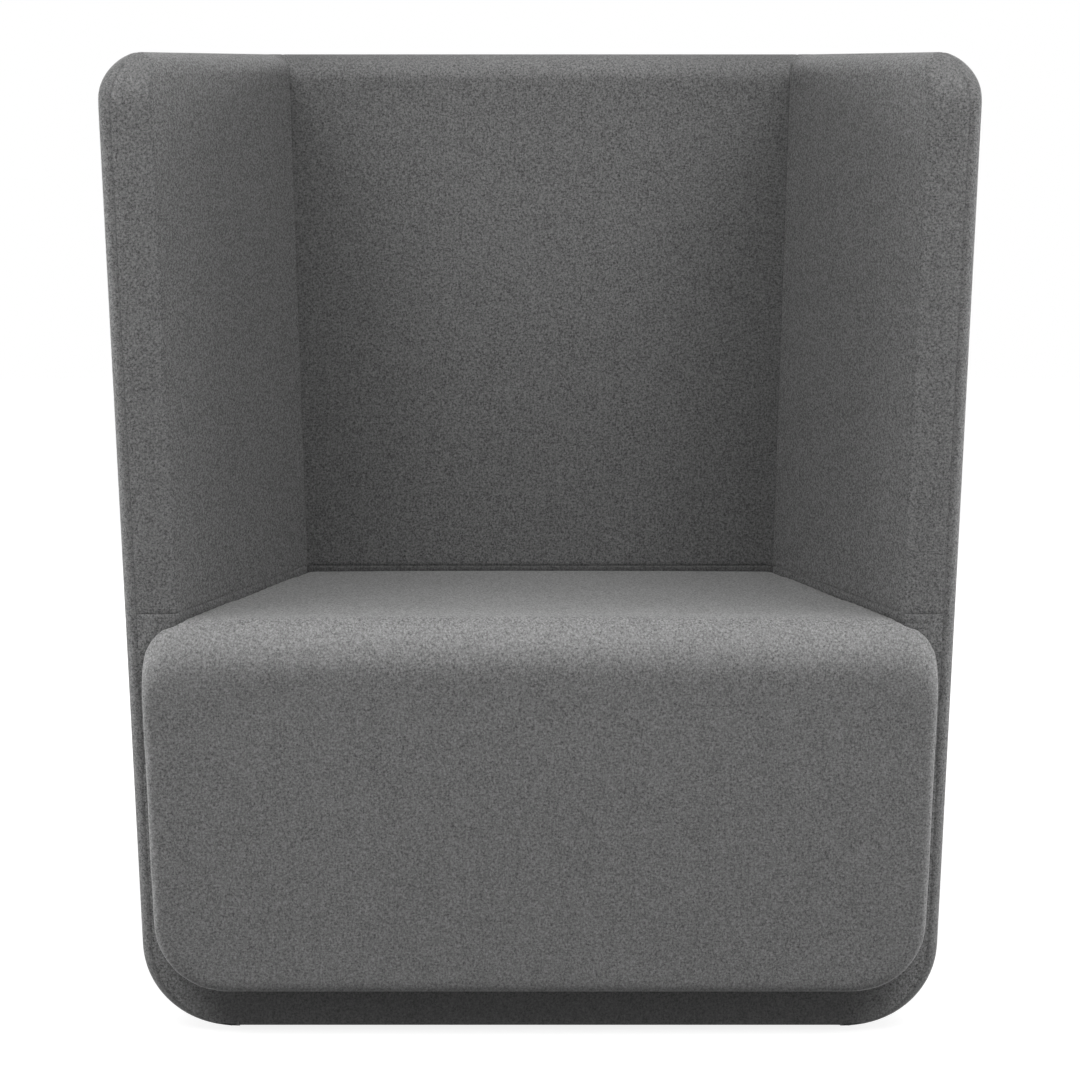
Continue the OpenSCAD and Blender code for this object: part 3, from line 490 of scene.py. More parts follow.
FLOAT, COLOUR, VECTOR = "NodeSocketFloat", "NodeSocketColor", "NodeSocketVector"
FINISH_OUTPUTS = [("Color", COLOUR), ("Roughness", FLOAT), ("Height", FLOAT)]


def noise(tree, vector, scale, detail, rough=0.5):
    """Noise of so many cells a metre, with its octaves and their strength."""
    n = tree.nodes.new("ShaderNodeTexNoise")
    n.inputs["Scale"].default_value = scale
    n.inputs["Detail"].default_value = detail
    n.inputs["Roughness"].default_value = rough
    tree.links.new(vector, n.inputs["Vector"])
    return n.outputs["Fac"]


def maths(tree, kind, a, b=None, c=None):
    """One sum on numbers or sockets."""
    n = tree.nodes.new("ShaderNodeMath")
    n.operation = kind
    for value, s in zip((a, b, c), n.inputs):
        if value is None:
            continue
        if isinstance(value, (int, float)):
            s.default_value = value
        else:
            tree.links.new(value, s)
    return n.outputs[0]


def stretched(tree, vector, scale, turn):
    """Coordinates scaled along each axis and turned by degrees."""
    n = tree.nodes.new("ShaderNodeMapping")
    n.inputs["Scale"].default_value = scale
    n.inputs["Rotation"].default_value = [math.radians(a) for a in turn]
    tree.links.new(vector, n.inputs["Vector"])
    return n.outputs[0]


def spread(tree, value, low, high, out_low=0.0, out_high=1.0):
    """Carries a value smoothly from one range over to another."""
    n = tree.nodes.new("ShaderNodeMapRange")
    n.interpolation_type = "SMOOTHSTEP"
    tree.links.new(value, n.inputs["Value"])
    for name, v in (("From Min", low), ("From Max", high), ("To Min", out_low), ("To Max", out_high)):
        n.inputs[name].default_value = v
    return n.outputs["Result"]


def blended(tree, factor, a, b, kind="MIX"):
    """Two colours blended by a factor."""
    n = tree.nodes.new("ShaderNodeMix")
    n.data_type = "RGBA"
    n.blend_type = kind
    for value, s in ((factor, n.inputs["Factor"]), (a, n.inputs["A"]), (b, n.inputs["B"])):
        if isinstance(value, (int, float)):
            s.default_value = value
        elif isinstance(value, tuple):
            s.default_value = (*value, 1.0)
        else:
            tree.links.new(value, s)
    return n.outputs["Result"]


# Wool: how the speckle lies, the three ways its fibres run (scale and turn), the part of each noise in
# the blend, its contrast, how much calmer level faces are, and the lean of the bands of painted shade and
# light
SPECKLE_TURN = (31, 22, 47)
STRANDS = (((800, 150, 800), (0, 0, 25)), ((150, 800, 800), (15, 0, -20)), ((800, 800, 160), (20, 10, 0)))
SPECKLE_PART, FIBRE_PART, FINE_PART, CLOUD_PART = 0.42, 0.38, 0.20, 0.16
CONTRAST, LEVEL_CALM, REACH_LEAN = 3.4, -0.35, -0.035


def felt_group():
    """Heathered wool: light and dark fibres, soft clouds of darker and lighter tone and a fibrous height,
    with painted shade and painted light in bands off the middle and painted light on faces that look up.
    """
    g = bpy.data.node_groups.new("wool_melange", "ShaderNodeTree")
    enter, leave = sockets(
        g,
        [("Vector", VECTOR, None), ("Place", VECTOR, None), ("Facing", VECTOR, None),
         ("Dark", COLOUR, (0.05, 0.05, 0.05, 1)), ("Light", COLOUR, (0.3, 0.3, 0.3, 1)),
         ("Grain", FLOAT, 1.0), ("Side Grain", FLOAT, 0.0), ("From", FLOAT, 0.0), ("To", FLOAT, 1.0),
         ("Inner", FLOAT, 1.0), ("Outer", FLOAT, 1.0), ("Painted Top Light", FLOAT, 1.0)],
        FINISH_OUTPUTS,
    )
    at = enter.outputs["Vector"]
    turned = stretched(g, at, (1, 1, 1), SPECKLE_TURN)
    speckle = noise(g, turned, 430, 3, 0.62)
    fine = noise(g, turned, 1050, 2, 0.6)
    strands = [noise(g, stretched(g, at, scale, turn), 1.0, 2, 0.55) for scale, turn in STRANDS]
    fibre = maths(g, "ADD", maths(g, "ADD", strands[0], strands[1]), strands[2])
    fibre = maths(g, "MULTIPLY", fibre, 1 / 3)
    cloud = noise(g, at, 38, 3, 0.5)
    blend = maths(g, "MULTIPLY_ADD", speckle, SPECKLE_PART, maths(g, "MULTIPLY", fibre, FIBRE_PART))
    blend = maths(g, "MULTIPLY_ADD", fine, FINE_PART, blend)
    centred = maths(g, "SUBTRACT", blend, 0.5)
    facing = g.nodes.new("ShaderNodeSeparateXYZ")
    g.links.new(enter.outputs["Facing"], facing.inputs[0])
    aside = maths(g, "POWER", maths(g, "SUBTRACT", 1.0, maths(g, "ABSOLUTE", facing.outputs["Y"])), 3.0)
    calm = maths(g, "MULTIPLY_ADD", maths(g, "ABSOLUTE", facing.outputs["Z"]), LEVEL_CALM, 1.0)
    gain = maths(g, "MULTIPLY", calm, enter.outputs["Grain"])
    gain = maths(g, "MULTIPLY_ADD", aside, enter.outputs["Side Grain"], gain)
    wide = maths(g, "MULTIPLY_ADD", maths(g, "MULTIPLY", centred, gain), CONTRAST, 0.5)
    drift = maths(g, "MULTIPLY_ADD", maths(g, "SUBTRACT", cloud, 0.5), CLOUD_PART, wide)
    clamp = g.nodes.new("ShaderNodeClamp")
    g.links.new(drift, clamp.inputs["Value"])
    share = clamp.outputs[0]
    parts = g.nodes.new("ShaderNodeSeparateXYZ")
    g.links.new(enter.outputs["Place"], parts.inputs[0])
    off_middle = maths(g, "ABSOLUTE", parts.outputs["X"])
    # Painted shade and painted light: a band off the middle, leaning with height, darkens or lightens the
    # wool between the band's two ends.
    reach = maths(g, "MULTIPLY_ADD", parts.outputs["Z"], REACH_LEAN, off_middle)
    painted_light_band = g.nodes.new("ShaderNodeMapRange")
    painted_light_band.interpolation_type = "SMOOTHSTEP"
    g.links.new(reach, painted_light_band.inputs["Value"])
    for source, target in (("From", "From Min"), ("To", "From Max"),
                           ("Inner", "To Min"), ("Outer", "To Max")):
        g.links.new(enter.outputs[source], painted_light_band.inputs[target])
    # Painted light: faces that look up are made lighter, as if lit from above.
    raised = maths(g, "MAXIMUM", facing.outputs["Z"], 0.0)
    lift = maths(g, "MULTIPLY_ADD", raised, maths(g, "SUBTRACT", enter.outputs["Painted Top Light"], 1.0), 1.0)
    painted_light_scale = maths(g, "MULTIPLY", painted_light_band.outputs["Result"], lift)
    wool = blended(g, share, enter.outputs["Dark"], enter.outputs["Light"])
    wool_with_painted_light = g.nodes.new("ShaderNodeVectorMath")
    wool_with_painted_light.operation = "SCALE"
    g.links.new(wool, wool_with_painted_light.inputs[0])
    g.links.new(painted_light_scale, wool_with_painted_light.inputs["Scale"])
    g.links.new(wool_with_painted_light.outputs[0], leave.inputs["Color"])
    g.links.new(spread(g, share, 0, 1, 0.74, 0.6), leave.inputs["Roughness"])
    height = maths(g, "MULTIPLY_ADD", fine, 0.35, maths(g, "MULTIPLY", fibre, 0.65))
    g.links.new(height, leave.inputs["Height"])
    return g


def wood_group():
    """Straight grain along Y with pores, and slow changes of colour."""
    g = bpy.data.node_groups.new("wood_grain", "ShaderNodeTree")
    enter, leave = sockets(
        g,
        [("Vector", VECTOR, None), ("Early", COLOUR, (0.6, 0.42, 0.25, 1)),
         ("Late", COLOUR, (0.35, 0.2, 0.1, 1))],
        FINISH_OUTPUTS,
    )
    at = enter.outputs["Vector"]
    long = stretched(g, at, (60, 6, 60), (0, 0, 4))
    rings_at = noise(g, long, 1.0, 4, 0.6)
    pores = noise(g, stretched(g, at, (700, 40, 700), (0, 0, 4)), 1.0, 2, 0.7)
    bands = spread(g, rings_at, 0.35, 0.68)
    base = blended(g, bands, enter.outputs["Early"], enter.outputs["Late"])
    dark = spread(g, pores, 0.58, 0.7, 0.0, 0.45)
    g.links.new(blended(g, dark, base, enter.outputs["Late"]), leave.inputs["Color"])
    g.links.new(spread(g, pores, 0.3, 0.7, 0.5, 0.75), leave.inputs["Roughness"])
    g.links.new(maths(g, "MULTIPLY_ADD", pores, -0.5, bands), leave.inputs["Height"])
    return g


def weave_group():
    """Crossed threads, as in webbing and thin lining cloth."""
    g = bpy.data.node_groups.new("cross_weave", "ShaderNodeTree")
    enter, leave = sockets(
        g,
        [("Vector", VECTOR, None), ("Dark", COLOUR, (0.02, 0.02, 0.02, 1)),
         ("Light", COLOUR, (0.1, 0.1, 0.1, 1)), ("Pitch", FLOAT, 0.002)],
        FINISH_OUTPUTS,
    )
    parts = g.nodes.new("ShaderNodeSeparateXYZ")
    g.links.new(enter.outputs["Vector"], parts.inputs[0])
    waves = []
    for axis in ("X", "Y"):
        turns = maths(g, "DIVIDE", parts.outputs[axis], enter.outputs["Pitch"])
        waves.append(maths(g, "SINE", maths(g, "MULTIPLY", turns, math.pi)))
    crossing = maths(g, "MULTIPLY", waves[0], waves[1])
    thread = maths(g, "MULTIPLY_ADD", crossing, 0.5, 0.5)
    fuzz = noise(g, enter.outputs["Vector"], 700, 2, 0.6)
    share = maths(g, "MULTIPLY_ADD", fuzz, 0.4, maths(g, "MULTIPLY", thread, 0.6))
    g.links.new(blended(g, share, enter.outputs["Dark"], enter.outputs["Light"]), leave.inputs["Color"])
    g.links.new(spread(g, fuzz, 0.3, 0.7, 0.75, 0.95), leave.inputs["Roughness"])
    g.links.new(thread, leave.inputs["Height"])
    return g


def wear_group():
    """Fine scuffs and a mottled finish for moulded and plated parts."""
    g = bpy.data.node_groups.new("scuffs", "ShaderNodeTree")
    enter, leave = sockets(
        g,
        [("Vector", VECTOR, None), ("Base", COLOUR, (0.1, 0.1, 0.1, 1)),
         ("Worn", COLOUR, (0.2, 0.2, 0.2, 1)), ("Smooth", FLOAT, 0.3), ("Rough", FLOAT, 0.5)],
        FINISH_OUTPUTS,
    )
    at = enter.outputs["Vector"]
    mottle = noise(g, at, 90, 4, 0.6)
    grain = noise(g, at, 1500, 2, 0.5)
    scratch = noise(g, stretched(g, at, (1200, 60, 500), (0, 0, 33)), 1.0, 2, 0.6)
    worn = maths(g, "MULTIPLY", spread(g, scratch, 0.6, 0.72), spread(g, mottle, 0.45, 0.65))
    g.links.new(blended(g, worn, enter.outputs["Base"], enter.outputs["Worn"]), leave.inputs["Color"])
    span = maths(g, "SUBTRACT", enter.outputs["Rough"], enter.outputs["Smooth"])
    rough = maths(g, "MULTIPLY_ADD", mottle, span, enter.outputs["Smooth"])
    g.links.new(rough, leave.inputs["Roughness"])
    g.links.new(maths(g, "MULTIPLY_ADD", worn, -0.6, grain), leave.inputs["Height"])
    return g


felt_nodes, wood_nodes, weave_nodes, wear_nodes = felt_group(), wood_group(), weave_group(), wear_group()


def finish(name, group, values, bump=0.3, bump_depth=0.0004, metallic=0.0, sheen=0.0, sheen_rough=0.4,
           nap=1.0):
    """A material: the group's colour, roughness and height, in object coordinates, on one shader."""
    m = bpy.data.materials.new(name)
    m.use_nodes = True
    t = m.node_tree
    shader = t.nodes["Principled BSDF"]
    shader.inputs["Metallic"].default_value = metallic
    shader.inputs["Sheen Weight"].default_value = sheen
    shader.inputs["Sheen Roughness"].default_value = sheen_rough
    place = t.nodes.new("ShaderNodeTexCoord")
    g = t.nodes.new("ShaderNodeGroup")
    g.node_tree = group
    t.links.new(stretched(t, place.outputs["Object"], (1, nap, 1), (0, 0, 0)), g.inputs["Vector"])
    for key, source in (("Place", "Object"), ("Facing", "Normal")):
        if key in g.inputs:
            t.links.new(place.outputs[source], g.inputs[key])
    for key, value in values.items():
        g.inputs[key].default_value = (*value, 1) if isinstance(value, tuple) else value
    t.links.new(g.outputs["Color"], shader.inputs["Base Color"])
    t.links.new(g.outputs["Roughness"], shader.inputs["Roughness"])
    lumps = t.nodes.new("ShaderNodeBump")
    lumps.inputs["Strength"].default_value = bump
    lumps.inputs["Distance"].default_value = bump_depth
    t.links.new(g.outputs["Height"], lumps.inputs["Height"])
    t.links.new(lumps.outputs["Normal"], shader.inputs["Normal"])
    return m


WOOL = {"Dark": (0.03, 0.03, 0.03), "Light": (0.235, 0.235, 0.235), "Grain": 1.6}
# Painted shade: a darker copy of the same wool, for the back lining that lies in shade behind the seat.
PAINTED_SHADE_WOOL = {"Dark": (0.015, 0.015, 0.015), "Light": (0.13, 0.13, 0.13), "Grain": 1.6}
# Painted light: the seat's felt is the same wool made lighter, standing in for the light on the seat.
SEAT_WOOL_PAINTED_LIGHT = {"Dark": (0.04, 0.04, 0.04), "Light": (0.3, 0.3, 0.3), "Grain": 1.35, "Side Grain": 1.1}
FELT = {"bump": 0.5, "bump_depth": 0.0006, "sheen": 0.45, "sheen_rough": 0.25}
felt = finish("grey_felt", felt_nodes, WOOL, **FELT)
# Painted shade and painted light: the back's felt darkens towards the creases beside the wings and is
# lighter where it looks up.
felt_back_painted_shade_and_light = finish("grey_felt_back_painted_shade_and_light", felt_nodes,
                   {**WOOL, "From": 0.05, "To": 0.26, "Inner": 0.97, "Outer": 0.75, "Painted Top Light": 1.25}, **FELT)
# Painted shade: the back lining's felt is the darker copy of the wool.
felt_painted_shade = finish("grey_felt_painted_shade", felt_nodes, PAINTED_SHADE_WOOL, **FELT)
# Painted light: the wing panel's felt is lighter along the outer part of its front strip.
felt_inside_painted_light = finish("grey_felt_inside_painted_light", felt_nodes,
                     {**WOOL, "Side Grain": 1.3, "From": 0.4, "To": 0.43, "Outer": 1.08}, nap=0.5, **FELT)
# Painted light: the lining panel's felt is lighter along its front strip beside the seat's nose.
felt_strip_painted_light = finish("grey_felt_strip_painted_light", felt_nodes,
                    {**WOOL, "Side Grain": 1.2, "From": 0.39, "To": 0.42, "Outer": 1.25}, nap=0.5, **FELT)
# Painted shade and painted light: the base front's felt is darker in the middle under the seat's nose and
# lighter at its strips beside the wings.
felt_base_painted_shade_and_light = finish("grey_felt_base_painted_shade_and_light", felt_nodes,
                   {**WOOL, "From": 0.33, "To": 0.41, "Inner": 0.55, "Outer": 1.7}, **FELT)
# Painted light: the seat's felt is made lighter again where it looks up.
felt_seat_painted_light = finish("grey_felt_seat_painted_light", felt_nodes, {**SEAT_WOOL_PAINTED_LIGHT, "Painted Top Light": 1.5}, nap=0.5,
                   **{**FELT, "sheen": 0.6})
foam = finish("cut_foam", wear_nodes,
              {"Base": (0.75, 0.7, 0.55), "Worn": (0.6, 0.55, 0.42), "Smooth": 0.9, "Rough": 1.0},
              bump=0.8, bump_depth=0.0008)
absorber = finish("pressed_fibre", felt_nodes, {"Dark": (0.12, 0.14, 0.16), "Light": (0.35, 0.38, 0.42)},
                  bump=0.8, bump_depth=0.001)
plywood = finish("birch_ply", wood_nodes, {"Early": (0.62, 0.46, 0.27), "Late": (0.45, 0.3, 0.16)})
timber = finish("planed_timber", wood_nodes, {"Early": (0.5, 0.33, 0.18), "Late": (0.33, 0.2, 0.1)})
lining_cloth = finish("lining_cloth", weave_nodes,
                      {"Dark": (0.008, 0.008, 0.009), "Light": (0.03, 0.03, 0.032), "Pitch": 0.0011},
                      sheen=0.1)
webbing = finish("webbing", weave_nodes,
                 {"Dark": (0.02, 0.02, 0.025), "Light": (0.09, 0.09, 0.1), "Pitch": 0.003}, bump=0.6)
zinc = finish("zinc_plate", wear_nodes,
              {"Base": (0.6, 0.62, 0.64), "Worn": (0.42, 0.42, 0.42), "Smooth": 0.28, "Rough": 0.5},
              bump=0.08, bump_depth=0.0001, metallic=1.0)
nylon = finish("black_nylon", wear_nodes,
               {"Base": (0.018, 0.018, 0.02), "Worn": (0.09, 0.09, 0.09), "Smooth": 0.35, "Rough": 0.6},
               bump=0.1, bump_depth=0.0001)

FINISHES = {
    "plywood": plywood, "timber": timber, "absorber": absorber, "foam": foam, "felt": felt,
    "under_cloth": lining_cloth, "webbing": webbing, "zinc_steel": zinc, "glide_plastic": nylon,
}
for part in frame["record"]["subparts"]:
    node = nodes[part["node"]]
    node.data.materials.clear()
    node.data.materials.append(FINISHES[part["material_slot"]])

# The tub's panels, and a point behind each kind of panel that its faces look away from
WING_INSIDE = Vector((0.37, 0.0, 0.5))
BACK_INSIDE = Vector((0.0, 0.25, 0.6))
BASE_INSIDE = Vector((0, 0, 0.2))


def stitched_line(co):
    """The second line of stitching, below the lining seam."""
    z = LINING_Z - RAKE * (co.y - FRONT_Y) - STITCH_DROP
    return STITCH_DEPTH * max(0.0, 1 - abs(co.z - z) / STITCH_HALF)


def wing_panel(side, suffix, columns, rows, replaced, cloth, groove=None):
    bm = grid(columns, rows)
    face_outwards(bm, WING_INSIDE)
    if side == "left":
        mirrored(bm, keep_both=False)
        bm.normal_update()
    tuck_seams(bm, groove)
    pad(f"{side}_{suffix}", bm, cloth, [f"{side}_{n}" for n in replaced])


def back_panel(name, columns, rows, replaced, cloth, groove=None):
    bm = grid(columns, rows)
    mirrored(bm, keep_both=True)
    face_outwards(bm, BACK_INSIDE)
    tuck_seams(bm, groove)
    pad(name, bm, cloth, replaced)


outer_columns = side_run + seam_edge
inner_columns = strip + mouth_run + wall_run
rear_columns = rear_straight + rear_turn
for side in ("left", "right"):
    wing_panel(side, "outer_panel", outer_columns, outer_rows, ["outer_cover", "wing_outer_foam"], felt)
    wing_panel(side, "wing_panel", inner_columns, inner_rows, ["wing_cover", "wing_inner_foam"],
               felt_inside_painted_light)
    wing_panel(side, "lining_panel", inner_columns, lining_rows, ["lining_cover"], felt_strip_painted_light,
               stitched_line)
back_panel("back_outer_panel", rear_columns, outer_rows, ["back_outer_cover", "back_outer_foam"], felt)
back_panel("back_panel", lining_run, inner_rows, ["back_cover", "back_inner_foam"], felt_back_painted_shade_and_light)
back_panel("back_lining_panel", lining_run, lining_rows, ["back_lining_cover"], felt_painted_shade, stitched_line)
bm = grid(base_columns, base_rows)
mirrored(bm, keep_both=True)
face_outwards(bm, BASE_INSIDE)
tuck_seams(bm)
pad("base_front_panel", bm, felt_base_painted_shade_and_light, ["base_front_cover"], BASE_PANEL_T)


# The seat block: a nose and a body, lofted along the fore and aft line
CORNER_STEPS, RISE_STEPS, TOP_STEPS, BODY_STEPS = 12, 24, 30, 40


def seat_drop(run, radius):
    """How far a rounded edge lies below its face, a run in from the end."""
    return arc_gap(radius, radius - max(0.0, run)) if run < radius else 0.0


def seat_top(x, y):
    crown = SEAT_CROWN * (1 - (x / FLOOR_HALF) ** 2)
    return SEAT_H - RAKE * (y - FRONT_Y) + crown - seat_drop(y - NOSE_FRONT, NOSE_ROLL)


def outline(half_low, low, half_top, top, low_r, top_r, y, drop):
    """Right half of a section of the seat: bottom, lower corner, side, upper corner and crowned top."""
    a, b = Vector((half_low, low)), Vector((half_top, top))
    turn = [a] * (CORNER_STEPS + 1)
    if low_r:
        arc = corner(Vector((0, low)), a, b, low_r)
        turn = [on_arc(arc, i / CORNER_STEPS) for i in range(CORNER_STEPS + 1)]
    points = [Vector((turn[0].x * i / CORNER_STEPS, low)) for i in range(CORNER_STEPS)] + turn
    upper = corner(a, b, Vector((0, seat_top(0, y) - drop)), top_r)
    points += [turn[-1].lerp(on_arc(upper, 0), i / RISE_STEPS) for i in range(1, RISE_STEPS)]
    points += [on_arc(upper, i / CORNER_STEPS) for i in range(CORNER_STEPS + 1)]
    end = points[-1]
    for i in range(1, TOP_STEPS + 1):
        x = end.x * (1 - i / TOP_STEPS)
        points.append(Vector((x, end.y + (seat_top(x, y) - seat_top(end.x, y)))))
    return points


def nose_section(y):
    """A section of the seat before the wings."""
    run = y - NOSE_FRONT
    low = NOSE_LOW + seat_drop(run, LOW_EDGE)
    half = NOSE_HALF - seat_drop(run, SIDE_EDGE)
    top = seat_top(half, y)
    section = outline(half + LEAN * low, low, half + LEAN * top, top, NOSE_LOW_R, NOSE_TOP_R, y, 0)
    return [Vector((p.x, y, p.y)) for p in section]


def body_half(y, z):
    """Half of the room between the wings."""
    return side_x(y, z, WING_T + SEAT_GAP)


def body_section(y, lean_share, drop):
    """A section between the wings, which leans back with the back by a share of its recline."""
    top = seat_top(body_half(y, SEAT_H), y) - drop
    low_half, top_half = body_half(y, SEAT_LOW), body_half(y, SEAT_H)
    section = outline(low_half, SEAT_LOW, top_half, top, 0, BODY_TOP_R, y, drop)
    shift = [lean_share * RECLINE * (p.y - SEAT_LOW) for p in section]
    off_middle = [SPLAY * s if p.x > OFF_MIDDLE else 0 for p, s in zip(section, shift)]
    return [Vector((p.x - inward, y + s, p.y)) for p, s, inward in zip(section, shift, off_middle)]


def loft(sections):
    """A closed block through half sections, mirrored to both sides."""
    bm = quad_grid(len(sections[0]) - 1, len(sections) - 1, lambda i, j: sections[j][i], LOFT_WELD)
    mirror_half(bm)
    bmesh.ops.holes_fill(bm, edges=[e for e in bm.edges if e.is_boundary], sides=0)
    bmesh.ops.triangulate(bm, faces=[f for f in bm.faces if len(f.verts) > 4])
    bmesh.ops.recalc_face_normals(bm, faces=bm.faces[:])
    return bm


NOSE_RUNS = (0, 0.0002, 0.0007, 0.0015, 0.0026, 0.004, 0.0055, 0.0075, 0.01, 0.0125, 0.0165, 0.022,
             0.03, 0.037)
REAR_RUNS = (0.011, 0.007, 0.004, 0.0015, 0)
nose = [nose_section(NOSE_FRONT + run) for run in NOSE_RUNS] + [nose_section(NOSE_REAR)]
rear = back_y(SEAT_LOW, BACK_T + SEAT_GAP)
body = [body_section(NOSE_REAR - BODY_LAP, 0, 0)]
for i in range(1, BODY_STEPS + 1):
    body.append(body_section(mix(FRONT_Y, rear - BODY_REAR_R, i / BODY_STEPS), i / BODY_STEPS, 0))
body += [body_section(rear - run, 1, seat_drop(run, BODY_REAR_R)) for run in REAR_RUNS]
seat_bm, body_bm = loft(nose), loft(body)
extra = bpy.data.meshes.new("seat_body")
body_bm.to_mesh(extra)
body_bm.free()
seat_bm.from_mesh(extra)
bpy.data.meshes.remove(extra)
seat = new_object("seat_cushion", seat_bm)

blocks = seat.modifiers.new("blocks", "REMESH")
blocks.mode = "VOXEL"
blocks.voxel_size = VOXEL
blocks.use_smooth_shade = True
relax = seat.modifiers.new("relax", "SMOOTH")
relax.factor = RELAX_SHARE
relax.iterations = RELAX_ROUNDS


def apply_modifiers(piece):
    """Gives the piece the mesh that its modifiers make."""
    graph = bpy.context.evaluated_depsgraph_get()
    mesh = bpy.data.meshes.new_from_object(piece.evaluated_get(graph))
    piece.modifiers.clear()
    old = piece.data
    piece.data = mesh
    bpy.data.meshes.remove(old)


apply_modifiers(seat)


def inflate(piece, held, cap):
    """Cloth under pressure: the cover swells over its filling, no point further than the cap."""
    rest = [v.co.copy() for v in piece.data.vertices]
    group = piece.vertex_groups.new(name="held")
    for v in piece.data.vertices:
        weight = held(v.co)
        if weight > 0:
            group.add([v.index], weight, "REPLACE")
    cloth = piece.modifiers.new("cloth", "CLOTH")
    settings = cloth.settings
    settings.quality = 4
    settings.mass = 0.3
    settings.tension_stiffness = settings.compression_stiffness = 25
    settings.shear_stiffness = 12
    settings.bending_stiffness = 1.5
    settings.use_pressure = True
    settings.uniform_pressure_force = 4
    settings.vertex_group_mass = "held"
    settings.effector_weights.gravity = 0
    cloth.collision_settings.use_collision = False
    scene = bpy.context.scene
    scene.frame_start, scene.frame_end = 1, SWELL_FRAMES
    cloth.point_cache.frame_start, cloth.point_cache.frame_end = 1, SWELL_FRAMES
    for f in range(1, SWELL_FRAMES + 1):
        scene.frame_set(f)
    apply_modifiers(piece)
    scene.frame_set(1)
    for v, start in zip(piece.data.vertices, rest):
        move = v.co - start
        if move.length > cap:
            v.co = start + move.normalized() * cap
    piece.vertex_groups.clear()


# Where the cover is held: behind a line before the wings, below the top and beside the wings
HOLD_BEFORE, HOLD_BELOW, HOLD_BESIDE, FREE_HOLD = 0.012, 0.045, 0.004, 0.35


def seat_held(co):
    """How firmly the seat is held: fully against the platform, the wings and the back."""
    beside = abs(co.x) > body_half(co.y, SEAT_H) - HOLD_BESIDE
    if co.y > FRONT_Y - HOLD_BEFORE and (co.z < SEAT_H - HOLD_BELOW or beside):
        return 1.0
    return FREE_HOLD


inflate(seat, seat_held, SWELL_CAP)
for poly in seat.data.polygons:
    poly.use_smooth = True
soften = seat.modifiers.new("smooth", "SUBSURF")
soften.levels = soften.render_levels = 1
seat.data.materials.clear()
seat.data.materials.append(felt_seat_painted_light)
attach(seat, "chair")
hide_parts("seat_cover", "seat_top_foam", "seat_base_foam", "seat_nose_foam")

# Camera, floor, world and lamps
CAMERA_AT, CAMERA_DOWN, LENS, SENSOR = (0, -4.53, 1.0546), 6.815, 129.9, 36
FLOOR_SIZE, FLOOR_LIT, FLOOR_SEEN = 9, (0.12, 0.12, 0.12, 1), (0.35, 0.35, 0.35, 1)
GLOW_FROM, GLOW_TO, GLOW_NEAR, GLOW_FAR = 0.6, 1.5, 0.84, 1.0
WORLD_LIGHT, WHITE = 0.02, (1, 1, 1, 1)
camera = bpy.data.objects.new("camera", bpy.data.cameras.new("camera"))
camera.data.lens = LENS
camera.data.sensor_width = SENSOR
camera.data.clip_end = 50
camera.location = CAMERA_AT
camera.rotation_euler = (math.radians(90 - CAMERA_DOWN), 0, 0)
bpy.context.scene.collection.objects.link(camera)
bpy.context.scene.camera = camera


def seen_share(tree):
    """1 for rays that show the surface itself, straight or mirrored."""
    path = tree.nodes.new("ShaderNodeLightPath")
    both = maths(tree, "MAXIMUM", path.outputs["Is Camera Ray"], path.outputs["Is Glossy Ray"])
    return maths(tree, "MAXIMUM", both, path.outputs["Is Transmission Ray"])


def shader_of(tree, kind, colour):
    node = tree.nodes.new(kind)
    node.inputs["Color"].default_value = colour
    return node


def split_rays(tree, lit, seen, output):
    """One shader for the light that falls on the chair, and one for what is seen."""
    choose = tree.nodes.new("ShaderNodeMixShader")
    out = tree.nodes.new(output)
    tree.links.new(seen_share(tree), choose.inputs["Fac"])
    tree.links.new(lit.outputs[0], choose.inputs[1])
    tree.links.new(seen.outputs[0], choose.inputs[2])
    tree.links.new(choose.outputs[0], out.inputs["Surface"])


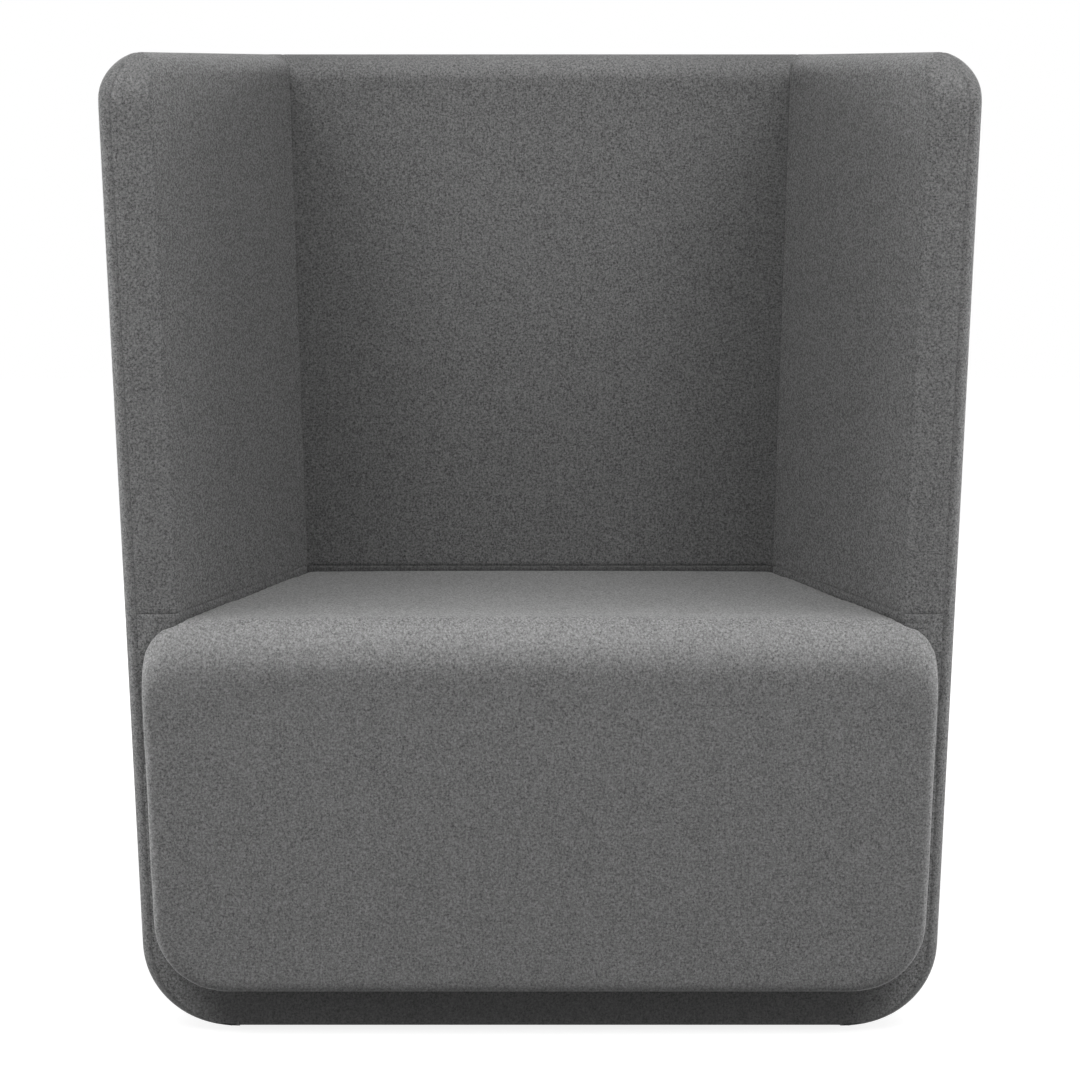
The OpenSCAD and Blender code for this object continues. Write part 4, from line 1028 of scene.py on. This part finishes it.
bm = bmesh.new()
bmesh.ops.create_grid(bm, x_segments=1, y_segments=1, size=FLOOR_SIZE)
floor = new_object("floor", bm)
paint = bpy.data.materials.new("white_floor")
paint.use_nodes = True
t = paint.node_tree
t.nodes.clear()
matt = shader_of(t, "ShaderNodeBsdfDiffuse", FLOOR_LIT)
pale = shader_of(t, "ShaderNodeBsdfDiffuse", FLOOR_SEEN)
glow = t.nodes.new("ShaderNodeEmission")
spot = t.nodes.new("ShaderNodeTexCoord")
away = t.nodes.new("ShaderNodeVectorMath")
away.operation = "LENGTH"
t.links.new(spot.outputs["Object"], away.inputs[0])
reach = spread(t, away.outputs["Value"], GLOW_FROM, GLOW_TO, GLOW_NEAR, GLOW_FAR)
t.links.new(reach, glow.inputs["Strength"])
both = t.nodes.new("ShaderNodeAddShader")
t.links.new(pale.outputs[0], both.inputs[0])
t.links.new(glow.outputs[0], both.inputs[1])
split_rays(t, matt, both, "ShaderNodeOutputMaterial")
floor.data.materials.append(paint)

world = bpy.data.worlds.new("studio")
bpy.context.scene.world = world
world.use_nodes = True
t = world.node_tree
t.nodes.clear()
lit = shader_of(t, "ShaderNodeBackground", WHITE)
lit.inputs["Strength"].default_value = WORLD_LIGHT
split_rays(t, lit, shader_of(t, "ShaderNodeBackground", WHITE), "ShaderNodeOutputWorld")

# Lamps: place, point of aim, width, height and power; all but the top one stand in pairs
LAMPS = {"top_lamp": ((0, -0.7, 3.2), (0, -0.6, 0), 3.5, 2.5, 30)}
LAMP_PAIRS = {
    "front_{}_lamp": ((1.535, -2.39, 3.01), (0, -0.2, 0.6), 1.6, 1.6, 33),
    "{}_lamp": ((2.317, -1.54, 3.01), (0, -0.2, 0.6), 1.6, 1.6, 22),
    "{}_low_lamp": ((2.963, -1.397, 0.6), (0, -0.2, 0.4), 1.4, 1.0, 9),
    "{}_rim_lamp": ((3.0, 0.0, 0.45), (0, -0.2, 0.3), 2.0, 0.8, 40),
    "rear_{}_lamp": ((2.0, 3.2, 1.0), (0, 0.1, 0.5), 1.8, 1.4, 34),
}
for pair, ((x, y, z), *rest) in LAMP_PAIRS.items():
    for side, sign in (("left", -1), ("right", 1)):
        LAMPS[pair.format(side)] = ((sign * x, y, z), *rest)
for name, (place, aim, wide, tall, power) in LAMPS.items():
    lamp = bpy.data.lights.new(name, "AREA")
    lamp.shape = "RECTANGLE"
    lamp.size, lamp.size_y = wide, tall
    lamp.energy = power
    holder = bpy.data.objects.new(name, lamp)
    holder.location = place
    holder.rotation_euler = (Vector(aim) - Vector(place)).to_track_quat("-Z", "Y").to_euler()
    bpy.context.scene.collection.objects.link(holder)

view = bpy.context.scene.view_settings
view.view_transform = "Standard"
